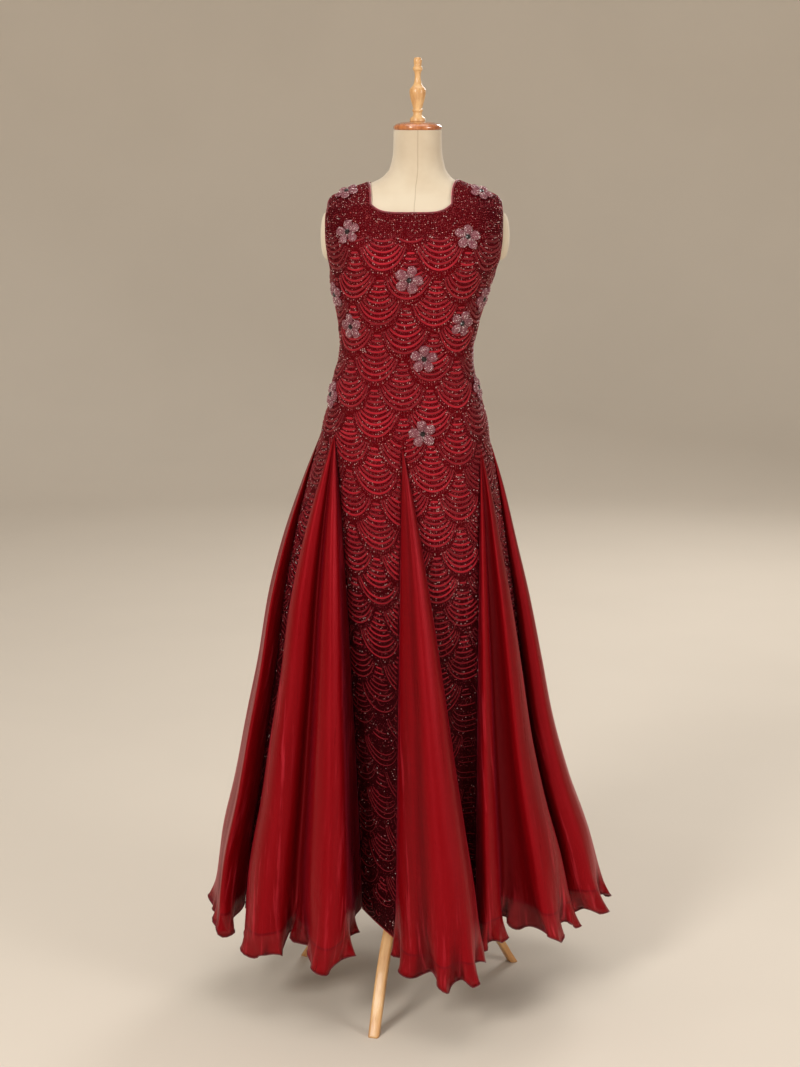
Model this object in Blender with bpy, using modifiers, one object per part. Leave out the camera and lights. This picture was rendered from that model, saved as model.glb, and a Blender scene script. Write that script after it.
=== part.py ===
"""A sleeveless net gown with organza godets, on a limbless dress form with a wooden stand.

Metres, +Z up, the gown's front toward -Y, +X to the viewer's right.
The gown's walls are rings: on the body they follow the form's sections, and from the hips down
they follow plan outlines whose points are listed in HEM, one row for each crest, valley or seam.
"""
import math

import bpy
import numpy as np
from mathutils import Matrix, Vector
from mathutils.bvhtree import BVHTree

OBJECT = "net_gown_on_dress_form"

# Driving sizes
WALL = 0.0020
CLEAR = 0.0018
SEAM_GAP = 0.00025
EDGE_GAP = 0.0003
BINDING_WIDTH = 0.0032
FORM_BOTTOM = 1.000
NECK_TOP = 1.7385
UNDERARM = 1.452
HIP_ROW = 1.152
POLE_X = -0.018
POLE_RADIUS = 0.0125
HUB_BOTTOM = 0.172
LEG_ANGLES = (-14.0, 116.0, 236.0)
ARM_X = 0.1630
ARM_CUT = 0.1570
ARM_MIDDLE = -0.002
STRAP_ROWS = 5
FLOWER_RADIUS = 0.0245
FLOWER_LIFT = 0.0009
SHIFT = (0.010, 0.000, 0.000)

# The form's sections: height, centre x, half width, front depth, back depth, squareness
FORM = np.array([
    (1.000, -0.0185, 0.1610, 0.113, 0.124, 0.04),
    (1.145, -0.0185, 0.1610, 0.113, 0.124, 0.04),
    (1.166, -0.0180, 0.1590, 0.113, 0.123, 0.04),
    (1.186, -0.0175, 0.1555, 0.113, 0.121, 0.04),
    (1.211, -0.0170, 0.1480, 0.111, 0.116, 0.04),
    (1.241, -0.0190, 0.1410, 0.108, 0.108, 0.04),
    (1.270, -0.0195, 0.1340, 0.103, 0.099, 0.04),
    (1.300, -0.0175, 0.1275, 0.098, 0.092, 0.04),
    (1.328, -0.0155, 0.1260, 0.095, 0.088, 0.04),
    (1.357, -0.0130, 0.1300, 0.097, 0.089, 0.04),
    (1.387, -0.0110, 0.1350, 0.102, 0.093, 0.04),
    (1.416, -0.0095, 0.1425, 0.108, 0.098, 0.04),
    (1.445, -0.0080, 0.1505, 0.113, 0.103, 0.04),
    (1.474, -0.0040, 0.1590, 0.115, 0.107, 0.04),
    (1.503, -0.0020, 0.1660, 0.112, 0.109, 0.09),
    (1.545, -0.0020, 0.1690, 0.097, 0.107, 0.12),
    (1.580, -0.0020, 0.1690, 0.079, 0.099, 0.10),
    (1.600, -0.0015, 0.1670, 0.066, 0.088, 0.05),
    (1.612, 0.0000, 0.1560, 0.057, 0.078, 0.00),
    (1.622, 0.0005, 0.1330, 0.051, 0.069, 0.00),
    (1.632, 0.0010, 0.1060, 0.048, 0.061, 0.00),
    (1.639, 0.0020, 0.0870, 0.047, 0.056, 0.00),
    (1.650, 0.0035, 0.0670, 0.047, 0.051, 0.00),
    (1.668, 0.0050, 0.0530, 0.046, 0.048, 0.00),
    (1.700, 0.0050, 0.0465, 0.045, 0.046, 0.00),
    (1.7385, 0.0050, 0.0455, 0.045, 0.045, 0.00),
])

# How far the form is drawn in under the hips and the shoulders: height, share of the section
TAPER = np.array([
    (1.000, 0.790),
    (1.060, 0.870),
    (1.105, 0.930),
    (1.138, 0.975),
    (1.158, 1.000),
    (1.480, 1.000),
    (1.560, 0.993),
    (1.600, 0.988),
    (1.630, 0.985),
    (1.650, 0.987),
    (1.690, 1.000),
    (1.900, 1.000),
])

FORM_COLUMNS = 32
FORM_ROWS = (
    1.000, 1.060, 1.105, 1.138, 1.158, 1.186, 1.241, 1.285, 1.328, 1.357, 1.387, 1.416, 1.458, 1.474,
    1.503, 1.545,
    1.580, 1.600, 1.612, 1.622, 1.632, 1.639, 1.650, 1.668, 1.700, 1.7385,
)

# Bust: side (-1 left, 1 right), centre x, height, size across, size up, rise
BUST = (
    (-0.088, 1.478, 0.050, 0.052, 0.015),
    (0.078, 1.478, 0.050, 0.052, 0.015),
)

# Armhole edge: height, angle from the middle of the front, and from the middle of the back
ARMHOLE = np.array([
    (1.000, 90.0, 90.0),
    (1.452, 90.0, 90.0),
    (1.464, 79.0, 80.0),
    (1.482, 71.5, 73.0),
    (1.510, 67.5, 69.0),
    (1.545, 66.5, 67.5),
    (1.575, 69.5, 70.0),
    (1.600, 75.0, 75.5),
])

# Hip points from which the godets open: angle, height
APEX = np.array([
    (-90.0, 1.160),
    (-54.0, 1.168),
    (-2.0, 1.150),
    (59.0, 1.142),
    (90.0, 1.148),
    (125.0, 1.150),
    (180.0, 1.150),
    (235.0, 1.152),
    (270.0, 1.160),
])

# Share of the way from hip to hem, against share of the width gained: left, middle, right
SPREAD = np.array([
    (0.000, 0.00, 0.00, 0.00),
    (0.100, 0.17, 0.14, 0.12),
    (0.216, 0.34, 0.29, 0.23),
    (0.338, 0.475, 0.43, 0.345),
    (0.470, 0.57, 0.58, 0.45),
    (0.593, 0.68, 0.71, 0.545),
    (0.725, 0.79, 0.83, 0.69),
    (0.857, 0.92, 0.93, 0.87),
    (1.000, 1.00, 1.00, 1.00),
])

# Skirt rows, as shares of the way from hip to hem
ROWS = (0.0, 0.012, 0.05, 0.11, 0.19, 0.30, 0.44, 0.60, 0.77, 0.90, 1.0)
FRONT_COUNTS = (0, 1, 3, 5, 7, 10, 14, 18, 22, 26, 26)
OTHER_COUNTS = (0, 1, 2, 4, 6, 8, 11, 14, 17, 20, 20)

# Each piece round the hem, from the left side forward and round: name, kind, hip angles, columns or
# hem waves, and its hem points as x, distance in front of the axis, height
HEM = (
    ("godet_side_left", "godet", -90.0, -90.0, 4, (
        (-0.325, -0.100, 0.178), (-0.375, -0.122, 0.170), (-0.404, -0.080, 0.176),
        (-0.414, -0.020, 0.180), (-0.404, 0.045, 0.160), (-0.396, 0.092, 0.146),
        (-0.374, 0.078, 0.156), (-0.345, 0.030, 0.178))),
    ("strip_side_left", "lace", -90.0, -54.0, 5, (
        (-0.345, 0.030, 0.178), (-0.330, 0.018, 0.182), (-0.316, 0.042, 0.178))),
    ("godet_front_left", "godet", -54.0, -54.0, 5, (
        (-0.316, 0.042, 0.178), (-0.344, 0.125, 0.148), (-0.303, 0.178, 0.136),
        (-0.268, 0.168, 0.140), (-0.238, 0.140, 0.166), (-0.200, 0.232, 0.142),
        (-0.168, 0.252, 0.138), (-0.144, 0.240, 0.141), (-0.126, 0.160, 0.168),
        (-0.105, 0.078, 0.198))),
    ("strip_front_left", "lace", -54.0, -2.0, 8, (
        (-0.105, 0.078, 0.198), (-0.071, 0.128, 0.184), (-0.035, 0.165, 0.166))),
    ("godet_front", "godet", -2.0, -2.0, 5, (
        (-0.035, 0.165, 0.166), (-0.030, 0.226, 0.142), (0.014, 0.272, 0.136),
        (0.068, 0.300, 0.130), (0.108, 0.286, 0.130), (0.130, 0.245, 0.138),
        (0.104, 0.160, 0.166))),
    ("strip_front_right", "lace", -2.0, 59.0, 8, (
        (0.104, 0.160, 0.166), (0.094, 0.130, 0.176), (0.108, 0.114, 0.182),
        (0.122, 0.126, 0.180))),
    ("godet_front_right", "godet", 59.0, 59.0, 5, (
        (0.122, 0.126, 0.180), (0.147, 0.186, 0.156), (0.167, 0.165, 0.162),
        (0.187, 0.106, 0.184), (0.219, 0.112, 0.180), (0.262, 0.154, 0.163),
        (0.300, 0.124, 0.164), (0.320, 0.072, 0.168), (0.290, 0.030, 0.182))),
    ("strip_side_right", "lace", 59.0, 90.0, 5, (
        (0.290, 0.030, 0.182), (0.282, 0.008, 0.186), (0.302, -0.008, 0.186))),
    ("godet_side_right", "godet", 90.0, 90.0, 4, (
        (0.302, -0.008, 0.186), (0.344, 0.046, 0.170), (0.374, 0.034, 0.172),
        (0.394, -0.030, 0.184), (0.388, -0.090, 0.180), (0.355, -0.120, 0.172),
        (0.308, -0.100, 0.180))),
    ("strip_back_side_right", "lace", 90.0, 125.0, 5, (
        (0.308, -0.100, 0.180), (0.284, -0.112, 0.184), (0.288, -0.138, 0.180))),
    ("godet_back_right", "godet", 125.0, 125.0, 4, (
        (0.288, -0.138, 0.180), (0.332, -0.168, 0.166), (0.318, -0.214, 0.160),
        (0.268, -0.230, 0.158), (0.236, -0.204, 0.170), (0.218, -0.264, 0.156),
        (0.176, -0.292, 0.150), (0.143, -0.264, 0.156), (0.126, -0.205, 0.172))),
    ("strip_back_right", "lace", 125.0, 180.0, 7, (
        (0.126, -0.205, 0.172), (0.090, -0.196, 0.174), (0.054, -0.208, 0.170))),
    ("godet_back", "godet", 180.0, 180.0, 4, (
        (0.054, -0.208, 0.170), (0.084, -0.272, 0.152), (0.050, -0.308, 0.142),
        (0.000, -0.290, 0.146), (-0.048, -0.310, 0.142), (-0.090, -0.276, 0.152),
        (-0.062, -0.208, 0.170))),
    ("strip_back_left", "lace", 180.0, 235.0, 7, (
        (-0.062, -0.208, 0.170), (-0.100, -0.196, 0.174), (-0.136, -0.205, 0.172))),
    ("godet_back_left", "godet", 235.0, 235.0, 4, (
        (-0.136, -0.205, 0.172), (-0.152, -0.264, 0.156), (-0.190, -0.292, 0.150),
        (-0.232, -0.256, 0.156), (-0.250, -0.208, 0.168), (-0.296, -0.234, 0.160),
        (-0.340, -0.204, 0.162), (-0.348, -0.160, 0.166), (-0.304, -0.136, 0.178))),
    ("strip_back_side_left", "lace", 235.0, 270.0, 5, (
        (-0.304, -0.136, 0.178), (-0.298, -0.112, 0.184), (-0.325, -0.100, 0.178))),
)
WAVE = 0.0058
WAVE_Z = 0.0030

# Body rows of the lace pieces between the hip row and the yoke row
BODY_ROWS = (
    1.178, 1.230, 1.285, 1.328, 1.365, 1.400, 1.430, 1.452, 1.458, 1.466, 1.479, 1.498, 1.520,
    1.545,
)
# Further rows, as shares of the way from the last body row to the yoke
TOP_ROWS = (0.40, 0.70, 0.88)

# Front yoke: corner x, yoke height at the middle, at the corner, at the armhole; shoulder x at the
# neck and at the tip
YOKE = {
    "front_left": (-0.086, 1.5830, 1.6000, 1.5880, -0.0900, -0.1580),
    "front_right": (0.071, 1.5830, 1.6000, 1.5880, 0.0850, 0.1560),
    "back_right": (0.078, 1.6130, 1.6190, 1.5950, 0.0850, 0.1560),
    "back_left": (-0.084, 1.6130, 1.6190, 1.5950, -0.0900, -0.1580),
}

# Lace pieces: their strips below the hips (rows of HEM), columns under a strap, the ends with a seam
BODIES = {
    "lace_front": {"strips": (1, 3, 5, 7), "strap": 5, "left": "front_left", "right": "front_right",
                   "back": False, "gaps": ((0, 1), (-1, -2))},
    "lace_back_right": {"strips": (9, 11), "strap": 5, "left": None, "right": "back_right",
                        "back": True, "gaps": ((0, 1), (-1, -2))},
    "lace_back_left": {"strips": (13, 15), "strap": 5, "left": "back_left", "right": None,
                       "back": True, "gaps": ((0, 1), (-1, -2))},
}

# A leg's cross-section, in shares of its width and thickness
LEG_RING = (
    (-0.50, -0.34), (-0.40, -0.50), (0.40, -0.50), (0.50, -0.34),
    (0.50, 0.34), (0.40, 0.50), (-0.40, 0.50), (-0.50, 0.34),
)

# Beaded flowers: name, x, height, size, turn in degrees
FLOWERS = (
    ("flower_shoulder_left", -0.128, 1.619, 0.92, 12.0),
    ("flower_shoulder_right", 0.124, 1.619, 0.92, 40.0),
    ("flower_chest_left", -0.125, 1.549, 0.95, 30.0),
    ("flower_chest_right", 0.097, 1.540, 1.00, 8.0),
    ("flower_bust", -0.012, 1.464, 1.08, 0.0),
    ("flower_bust_left", -0.147, 1.432, 1.00, 20.0),
    ("flower_bust_right", 0.126, 1.424, 1.00, 50.0),
    ("flower_rib_left", -0.118, 1.372, 0.98, 25.0),
    ("flower_rib_right", 0.086, 1.380, 1.02, 5.0),
    ("flower_waist", -0.016, 1.312, 1.05, 15.0),
    ("flower_hip_left", -0.156, 1.236, 1.10, 0.0),
    ("flower_hip_right", 0.117, 1.248, 0.95, 33.0),
    ("flower_hip", -0.014, 1.172, 1.05, 28.0),
)

# Finial outline, from its point down: radius, height
FINIAL = (
    (0.0000, 1.8730), (0.0060, 1.8722), (0.0076, 1.8690), (0.0076, 1.8560), (0.0088, 1.8545),
    (0.0088, 1.8495), (0.0074, 1.8480), (0.0074, 1.8250), (0.0090, 1.8215), (0.0150, 1.8140),
    (0.0156, 1.8095), (0.0135, 1.7960), (0.0090, 1.7800), (0.0086, 1.7780), (0.0100, 1.7765),
    (0.0100, 1.7735), (0.0086, 1.7715), (0.0090, 1.7650), (0.0140, 1.7600), (0.0148, 1.7545),
    (0.0000, 1.7545),
)
# Cap outline, from its middle down: radius, height
CAP = (
    (0.0000, 1.7541), (0.0150, 1.7539), (0.0330, 1.7520), (0.0430, 1.7485), (0.0462, 1.7450),
    (0.0462, 1.7410), (0.0448, 1.7389), (0.0000, 1.7389),
)
# Hub outline: radius, height
HUB = (
    (0.0129, 0.2320), (0.0250, 0.2320), (0.0320, 0.2260), (0.0350, 0.2180), (0.0350, 0.1840),
    (0.0320, 0.1760), (0.0250, 0.1720), (0.0129, 0.1720),
)
# Leg sections along its bend: distance from the pole, height, slope in degrees, width, thickness
LEG = (
    (0.0354, 0.2010, 0.0, 0.0240, 0.0200),
    (0.0640, 0.1998, 6.0, 0.0240, 0.0190),
    (0.1000, 0.1890, 24.0, 0.0235, 0.0180),
    (0.1330, 0.1670, 40.0, 0.0230, 0.0170),
    (0.1620, 0.1380, 49.0, 0.0230, 0.0160),
    (0.1880, 0.1060, 54.0, 0.0228, 0.0155),
    (0.2110, 0.0720, 58.0, 0.0226, 0.0150),
    (0.2330, 0.0370, 59.0, 0.0222, 0.0145),
    (0.2450, 0.0160, 60.0, 0.0218, 0.0145),
)
LEG_END = (0.2550, 0.0000, 0.0210, 0.0170)


def smooth(table, at, column):
    """The table's column at this value of its first column, as a cubic with limited slopes."""
    xs = table[:, 0]
    ys = table[:, column]
    slopes = np.diff(ys) / np.diff(xs)
    tangent = np.zeros(len(xs))
    same = slopes[:-1] * slopes[1:] > 0
    harmonic = np.zeros(len(slopes) - 1)
    harmonic[same] = 2 * slopes[:-1][same] * slopes[1:][same] / (slopes[:-1] + slopes[1:])[same]
    tangent[1:-1] = harmonic
    tangent[0] = slopes[0]
    tangent[-1] = slopes[-1]
    at = np.clip(np.asarray(at, float), xs[0], xs[-1])
    i = np.clip(np.searchsorted(xs, at) - 1, 0, len(xs) - 2)
    step = xs[i + 1] - xs[i]
    s = (at - xs[i]) / step
    low = ys[i] * (1 + 2 * s) * (1 - s) ** 2 + tangent[i] * step * s * (1 - s) ** 2
    high = ys[i + 1] * s * s * (3 - 2 * s) + tangent[i + 1] * step * s * s * (s - 1)
    return low + high


def form_surface(angle, z):
    """Points of the form at these angles (degrees from the front, rising to the right) and heights."""
    angle = np.radians(np.asarray(angle, float))
    z = np.asarray(z, float) + 0 * angle
    sine = np.sin(angle)
    cosine = np.cos(angle)
    square = 1 + smooth(FORM, z, 5) * np.sin(2 * angle) ** 2
    x = smooth(FORM, z, 1) + smooth(FORM, z, 2) * sine * square
    depth = np.where(cosine > 0, smooth(FORM, z, 3), smooth(FORM, z, 4))
    y = -depth * cosine * square
    for centre, height, across, up, rise in BUST:
        bump = np.exp(-((x - centre) / across) ** 2 - ((z - height) / up) ** 2)
        y = y - rise * bump * np.clip(cosine * 2.5, 0, 1)
    return np.stack([x, y, z], axis=-1)


def form_normal(angle, z):
    """Outward unit normals of the form at these angles and heights."""
    step_a = 0.5
    step_z = 0.0008
    across = form_surface(np.asarray(angle) + step_a, z) - form_surface(np.asarray(angle) - step_a, z)
    up = form_surface(angle, np.asarray(z) + step_z) - form_surface(angle, np.asarray(z) - step_z)
    normal = np.cross(across, up)
    return normal / np.linalg.norm(normal, axis=-1, keepdims=True)


def ridge_height(x, angle):
    """Height on the shoulder at which the form, at this angle, is this far across."""
    low = 1.585
    high = 1.660
    for _ in range(40):
        middle = (low + high) / 2
        if abs(form_surface(angle, middle)[0]) > abs(x):
            low = middle
        else:
            high = middle
    return (low + high) / 2


def spline(points, params, at):
    """A curve through the points, with unequal steps, at these parameters."""
    points = np.asarray(points, float)
    slopes = np.zeros_like(points)
    steps = np.diff(params)[:, None]
    runs = np.diff(points, axis=0) / steps
    slopes[1:-1] = (runs[:-1] * steps[1:] + runs[1:] * steps[:-1]) / (steps[1:] + steps[:-1])
    slopes[0] = 1.5 * runs[0] - 0.5 * slopes[1]
    slopes[-1] = 1.5 * runs[-1] - 0.5 * slopes[-2]
    at = np.asarray(at, float)
    i = np.clip(np.searchsorted(params, at) - 1, 0, len(params) - 2)
    step = (params[i + 1] - params[i])[:, None]
    s = ((at - params[i]) / step[:, 0])[:, None]
    low = points[i] * (1 + 2 * s) * (1 - s) ** 2 + slopes[i] * step * s * (1 - s) ** 2
    high = points[i + 1] * s * s * (3 - 2 * s) + slopes[i + 1] * step * s * s * (s - 1)
    return low + high


def skirt_points(piece, share, count):
    """Outer points of one piece of the skirt on the row at this share of the way down."""
    name, kind, first, last, waves, hem = piece
    hem = np.array(hem)
    params = np.concatenate([[0], np.cumsum(np.linalg.norm(np.diff(hem[:, :2], axis=0), axis=1))])
    params = params / params[-1]
    u = np.linspace(0, 1, count + 1)
    found = spline(hem, params, u)
    angles = first + (last - first) * u
    heights = np.interp(angles, APEX[:, 0], APEX[:, 1])
    top = form_surface(angles, heights) + (CLEAR + WALL) * form_normal(angles, heights)
    side = np.clip(found[:, 0] / 0.30, -1, 1)
    middle = smooth(SPREAD, share, 2)
    outer = np.where(side < 0, smooth(SPREAD, share, 1), smooth(SPREAD, share, 3))
    gained = middle + (outer - middle) * np.abs(side)
    found[:, 0] = top[:, 0] + (found[:, 0] - top[:, 0]) * gained
    found[:, 1] = top[:, 1] + (-found[:, 1] - top[:, 1]) * gained
    found[:, 2] = top[:, 2] + (found[:, 2] - top[:, 2]) * share
    if kind == "godet":
        grow = max(0.0, (share - 0.80) / 0.20) ** 2
        along = np.gradient(found[:, :2], axis=0) if count > 1 else np.ones((2, 2))
        along = along / np.linalg.norm(along, axis=1, keepdims=True)
        outward = np.stack([along[:, 1], -along[:, 0]], axis=1)
        edge = np.clip(8 * u, 0, 1) * np.clip(8 * (1 - u), 0, 1)
        wave = np.sin(2 * math.pi * waves * u) * edge * grow
        found[:, :2] += WAVE * wave[:, None] * outward
        found[:, 2] += WAVE_Z * np.cos(2 * math.pi * waves * u + 0.8) * edge * grow
    return found


def column_count(piece, row):
    if piece[1] == "lace":
        return piece[4]
    front = piece[0] in ("godet_front", "godet_front_left", "godet_front_right")
    return (FRONT_COUNTS if front else OTHER_COUNTS)[row]


def skirt_rows():
    """For each row and piece, its outer and inner points, with the seam gaps taken off its ends."""
    made = []
    for row, share in enumerate(ROWS):
        parts = []
        ring = []
        for piece in HEM:
            count = column_count(piece, row)
            if count == 0:
                parts.append(None)
                continue
            points = skirt_points(piece, share, count)
            parts.append((len(ring), len(points)))
            ring.extend(points[:-1])
        ring = np.array(ring)
        before = np.roll(ring, 1, axis=0)
        after = np.roll(ring, -1, axis=0)
        first = ring[:, :2] - before[:, :2]
        second = after[:, :2] - ring[:, :2]
        first = first / np.linalg.norm(first, axis=1, keepdims=True)
        second = second / np.linalg.norm(second, axis=1, keepdims=True)
        first_out = np.stack([first[:, 1], -first[:, 0]], axis=1)
        second_out = np.stack([second[:, 1], -second[:, 0]], axis=1)
        both = first_out + second_out
        length = np.linalg.norm(both, axis=1, keepdims=True)
        both = both / np.maximum(length, 1e-6)
        cosine = np.clip((both * first_out).sum(axis=1, keepdims=True), 0.62, 1.0)
        inner = ring.copy()
        inner[:, :2] -= WALL * both / cosine
        level = []
        for part in parts:
            if part is None:
                level.append(None)
                continue
            start, length = part
            index = (start + np.arange(length)) % len(ring)
            outer_part = ring[index].copy()
            inner_part = inner[index].copy()
            for side in (outer_part, inner_part):
                if share == 0:
                    continue
                for end, beside in ((0, 1), (-1, -2)):
                    along = side[beside] - side[end]
                    side[end] += SEAM_GAP * along / np.linalg.norm(along)
            level.append((outer_part, inner_part))
        made.append(level)
    return made


def zip_rows(first, second):
    """Triangles between two rows of vertex numbers that may differ in count, first row above."""
    faces = []
    i = 0
    j = 0
    most_i = len(first) - 1
    most_j = len(second) - 1
    while i < most_i or j < most_j:
        next_i = (i + 1) / most_i if i < most_i else 9.0
        next_j = (j + 1) / most_j if j < most_j else 9.0
        if next_i < next_j:
            faces.append((first[i], second[j], first[i + 1]))
            i += 1
        else:
            faces.append((first[i], second[j], second[j + 1]))
            j += 1
    return faces


class Sheet:
    """An open surface held as matching outer and inner points, closed round its edge when made."""

    def __init__(self):
        self.outer = []
        self.inner = []
        self.faces = []

    def row(self, outer, inner):
        start = len(self.outer)
        self.outer.extend(outer)
        self.inner.extend(inner)
        return list(range(start, start + len(outer)))

    def between(self, upper, lower):
        self.faces.extend(zip_rows(upper, lower))

    def closed(self):
        count = len(self.outer)
        faces = list(self.faces)
        faces.extend((c + count, b + count, a + count) for a, b, c in self.faces)
        edges = {}
        for face in self.faces:
            for k in range(3):
                edges[(face[k], face[(k + 1) % 3])] = True
        for a, b in edges:
            if (b, a) in edges:
                continue
            if self.outer[a][2] > self.outer[b][2]:
                faces.append((b, a, b + count))
                faces.append((a, a + count, b + count))
            else:
                faces.append((b, a, a + count))
                faces.append((b, a + count, b + count))
        return np.array(self.outer + self.inner), faces


def rgba(red, green, blue):
    """A linear colour from 8-bit screen values."""
    out = []
    for value in (red, green, blue):
        value = value / 255
        out.append(value / 12.92 if value <= 0.04045 else ((value + 0.055) / 1.055) ** 2.4)
    return (out[0], out[1], out[2], 1.0)


def add_material(name, colour, roughness, metallic=0.0):
    material = bpy.data.materials.new(name)
    material.use_nodes = True
    shader = material.node_tree.nodes["Principled BSDF"]
    shader.inputs["Base Color"].default_value = colour
    shader.inputs["Roughness"].default_value = roughness
    shader.inputs["Metallic"].default_value = metallic
    material.diffuse_color = colour
    return material


def add_mesh(name, points, faces, material, flat=False):
    mesh = bpy.data.meshes.new(name)
    mesh.from_pydata([tuple(point) for point in points], [], [tuple(face) for face in faces])
    mesh.update()
    made = bpy.data.objects.new(name, mesh)
    bpy.data.collections[OBJECT].objects.link(made)
    made.data.materials.append(material)
    if not flat:
        mesh.shade_smooth()
    return made


def form_angle(x, z):
    """How far round from the middle, in degrees, the form's surface is this far across."""
    low = 0.0
    high = 90.0
    turn = 1 if x > float(smooth(FORM, z, 1)) else -1
    for _ in range(40):
        middle = (low + high) / 2
        if abs(float(form_surface(turn * middle, z)[0])) < abs(x):
            low = middle
        else:
            high = middle
    return turn * (low + high) / 2


def on_gown(angle, z):
    point = form_surface(angle, z)
    normal = form_normal(angle, z)
    return point + (CLEAR + WALL) * normal, point + CLEAR * normal


def yoke_point(body, j, count):
    """Angle from the middle, and height, of a body's column where its straps or neckline begin."""
    strap = body["strap"]
    left = YOKE[body["left"]] if body["left"] else None
    right = YOKE[body["right"]] if body["right"] else None
    for yoke, turn, share in ((left, -1, (strap - j) / strap), (right, 1, (j - count + strap) / strap)):
        if yoke and 0 <= share <= 1:
            corner = form_angle(yoke[0], yoke[2])
            arm = form_angle(turn * ARM_X, yoke[3])
            return corner + (arm - corner) * share, yoke[2] + (yoke[3] - yoke[2]) * share
    if left and right:
        part = 2 * (j - strap) / (count - 2 * strap) - 1
        x = left[0] + (right[0] - left[0]) * (part + 1) / 2
        z = left[1] + (left[2] - left[1]) * abs(part) ** 5
        return form_angle(x, z), z
    corner = left or right
    part = (count - j) / (count - strap) if left else j / (count - strap)
    z = corner[1] + (corner[2] - corner[1]) * part ** 3
    return form_angle(corner[0] * part, z), z


def body_of(name):
    """A lace body's columns, each with its hip angle, yoke angle and yoke height, and its rows."""
    body = BODIES[name]
    low = []
    for i in body["strips"]:
        angles = np.linspace(HEM[i][2], HEM[i][3], HEM[i][4] + 1)
        low.extend(angles if not low else angles[1:])
    count = len(low) - 1
    columns = []
    for j, angle in enumerate(low):
        # On the back the form is read from the other side, so its left and right change places.
        place = count - j if body["back"] else j
        found, height = yoke_point(body, place, count)
        columns.append((angle, 180 - found if body["back"] else found, height))
    if body["back"]:
        columns = [(low, high if high > 0 else high + 360, z) for low, high, z in columns]
    return columns


def column_angle(body, columns, j, z):
    """The angle of a body's column at this height: from hip to yoke, inside the armhole's edge."""
    low, high, _ = columns[j]
    middle = 180.0 if body["back"] else 0.0
    use_first = high < middle if body["left"] and body["right"] else bool(body["right"])
    side = (columns[0] if use_first else columns[-1])[1] - middle
    edge = float(smooth(ARMHOLE, z, 2 if body["back"] else 1))
    ease = float(np.clip((z - 1.19) / (1.44 - 1.19), 0, 1))
    ease = ease * ease * (3 - 2 * ease)
    turned = middle + (high - middle) * edge / abs(side)
    return low + (turned - low) * ease


def move_ends(rows, ends, gap):
    for side in rows:
        for end, beside in ends:
            along = side[beside] - side[end]
            side[end] = side[end] + gap * along / np.linalg.norm(along)


def lace_sheet(name, levels):
    """One lace piece as a sheet, with the vertex numbers of its body rows and of its straps."""
    body = BODIES[name]
    columns = body_of(name)
    count = len(columns) - 1
    ends = body["gaps"]
    sheet = Sheet()
    rows = []
    for level in ("hip",) + BODY_ROWS + TOP_ROWS + ("yoke",):
        outer = []
        inner = []
        for j, (low, high, height) in enumerate(columns):
            if level == "hip":
                z = float(np.interp(low, APEX[:, 0], APEX[:, 1]))
            else:
                z = height if level == "yoke" else level
                z = BODY_ROWS[-1] + (height - BODY_ROWS[-1]) * level if level in TOP_ROWS else z
            a, b = on_gown(column_angle(body, columns, j, z), z)
            outer.append(a)
            inner.append(b)
        move_ends((outer, inner), ends, SEAM_GAP)
        rows.append(sheet.row(outer, inner))
        if len(rows) > 1:
            sheet.between(rows[-1], rows[-2])
    start = 0
    for i in body["strips"]:
        last = rows[0][start:start + HEM[i][4] + 1]
        for row in range(1, len(ROWS)):
            now = sheet.row(*levels[row][i])
            sheet.between(last, now)
            last = now
        start += HEM[i][4]
    straps = {}
    for key in (body["left"], body["right"]):
        if not key:
            continue
        yoke = YOKE[key]
        turn = 1 if yoke[0] > 0 else -1
        first = (key == body["left"]) != body["back"]
        use = range(body["strap"] + 1) if first else range(count - body["strap"], count + 1)
        held = [[rows[-1][j] for j in use]]
        for k in range(1, STRAP_ROWS + 1):
            share = k / STRAP_ROWS
            outer = []
            inner = []
            for j in use:
                high = columns[j][1]
                begin = float(form_surface(high, columns[j][2])[0])
                outward = abs(begin - yoke[0]) / (ARM_X - abs(yoke[0]))
                end = yoke[4] + (yoke[5] - yoke[4]) * min(outward, 1.0)
                x = begin + (end - begin) * share
                ridge = (90.0 if turn > 0 else 270.0) if body["back"] else 90.0 * turn
                angle = high + (ridge - high) * share ** 0.85
                a, b = on_gown(angle, ridge_height(x, angle))
                if k == STRAP_ROWS:
                    apart = np.array([0, 0.0002 if body["back"] else -0.0002, 0])
                    a = a + apart
                    b = b + apart
                outer.append(a)
                inner.append(b)
            held.append(sheet.row(outer, inner))
            sheet.between(held[-1], held[-2])
        straps[key] = held
    return sheet, rows, straps


def edge_points(sheet, numbers):
    return [(np.array(sheet.outer[n]), np.array(sheet.inner[n])) for n in numbers]


def binding(name, loop, centre, material):
    """A narrow band that carries on the cloth past its edge, round the closed loop."""
    outer = np.array([pair[0] for pair in loop])
    inner = np.array([pair[1] for pair in loop])
    tangent = np.roll(outer, -1, axis=0) - np.roll(outer, 1, axis=0)
    away = np.cross(tangent, outer - inner)
    away = away / np.linalg.norm(away, axis=1, keepdims=True)
    if (away * (np.array(centre) - outer)).sum() < 0:
        away = -away
    points = []
    for a, b, d in zip(outer, inner, away):
        far = EDGE_GAP + BINDING_WIDTH
        points.extend((a + EDGE_GAP * d, a + far * d, b + far * d, b + EDGE_GAP * d))
    count = len(loop)
    faces = []
    for i in range(count):
        j = (i + 1) % count
        for k in range(4):
            m = (k + 1) % 4
            faces.append((4 * i + k, 4 * i + m, 4 * j + m))
            faces.append((4 * i + k, 4 * j + m, 4 * j + k))
    return add_mesh(name, points, outward(points, faces), material)


def outward(points, faces):
    """The faces, all turned round where together they enclose a negative volume."""
    at = np.array(points)[np.array(faces)]
    volume = (at[:, 0] * np.cross(at[:, 1], at[:, 2])).sum()
    return faces if volume > 0 else [tuple(reversed(face)) for face in faces]


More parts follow.
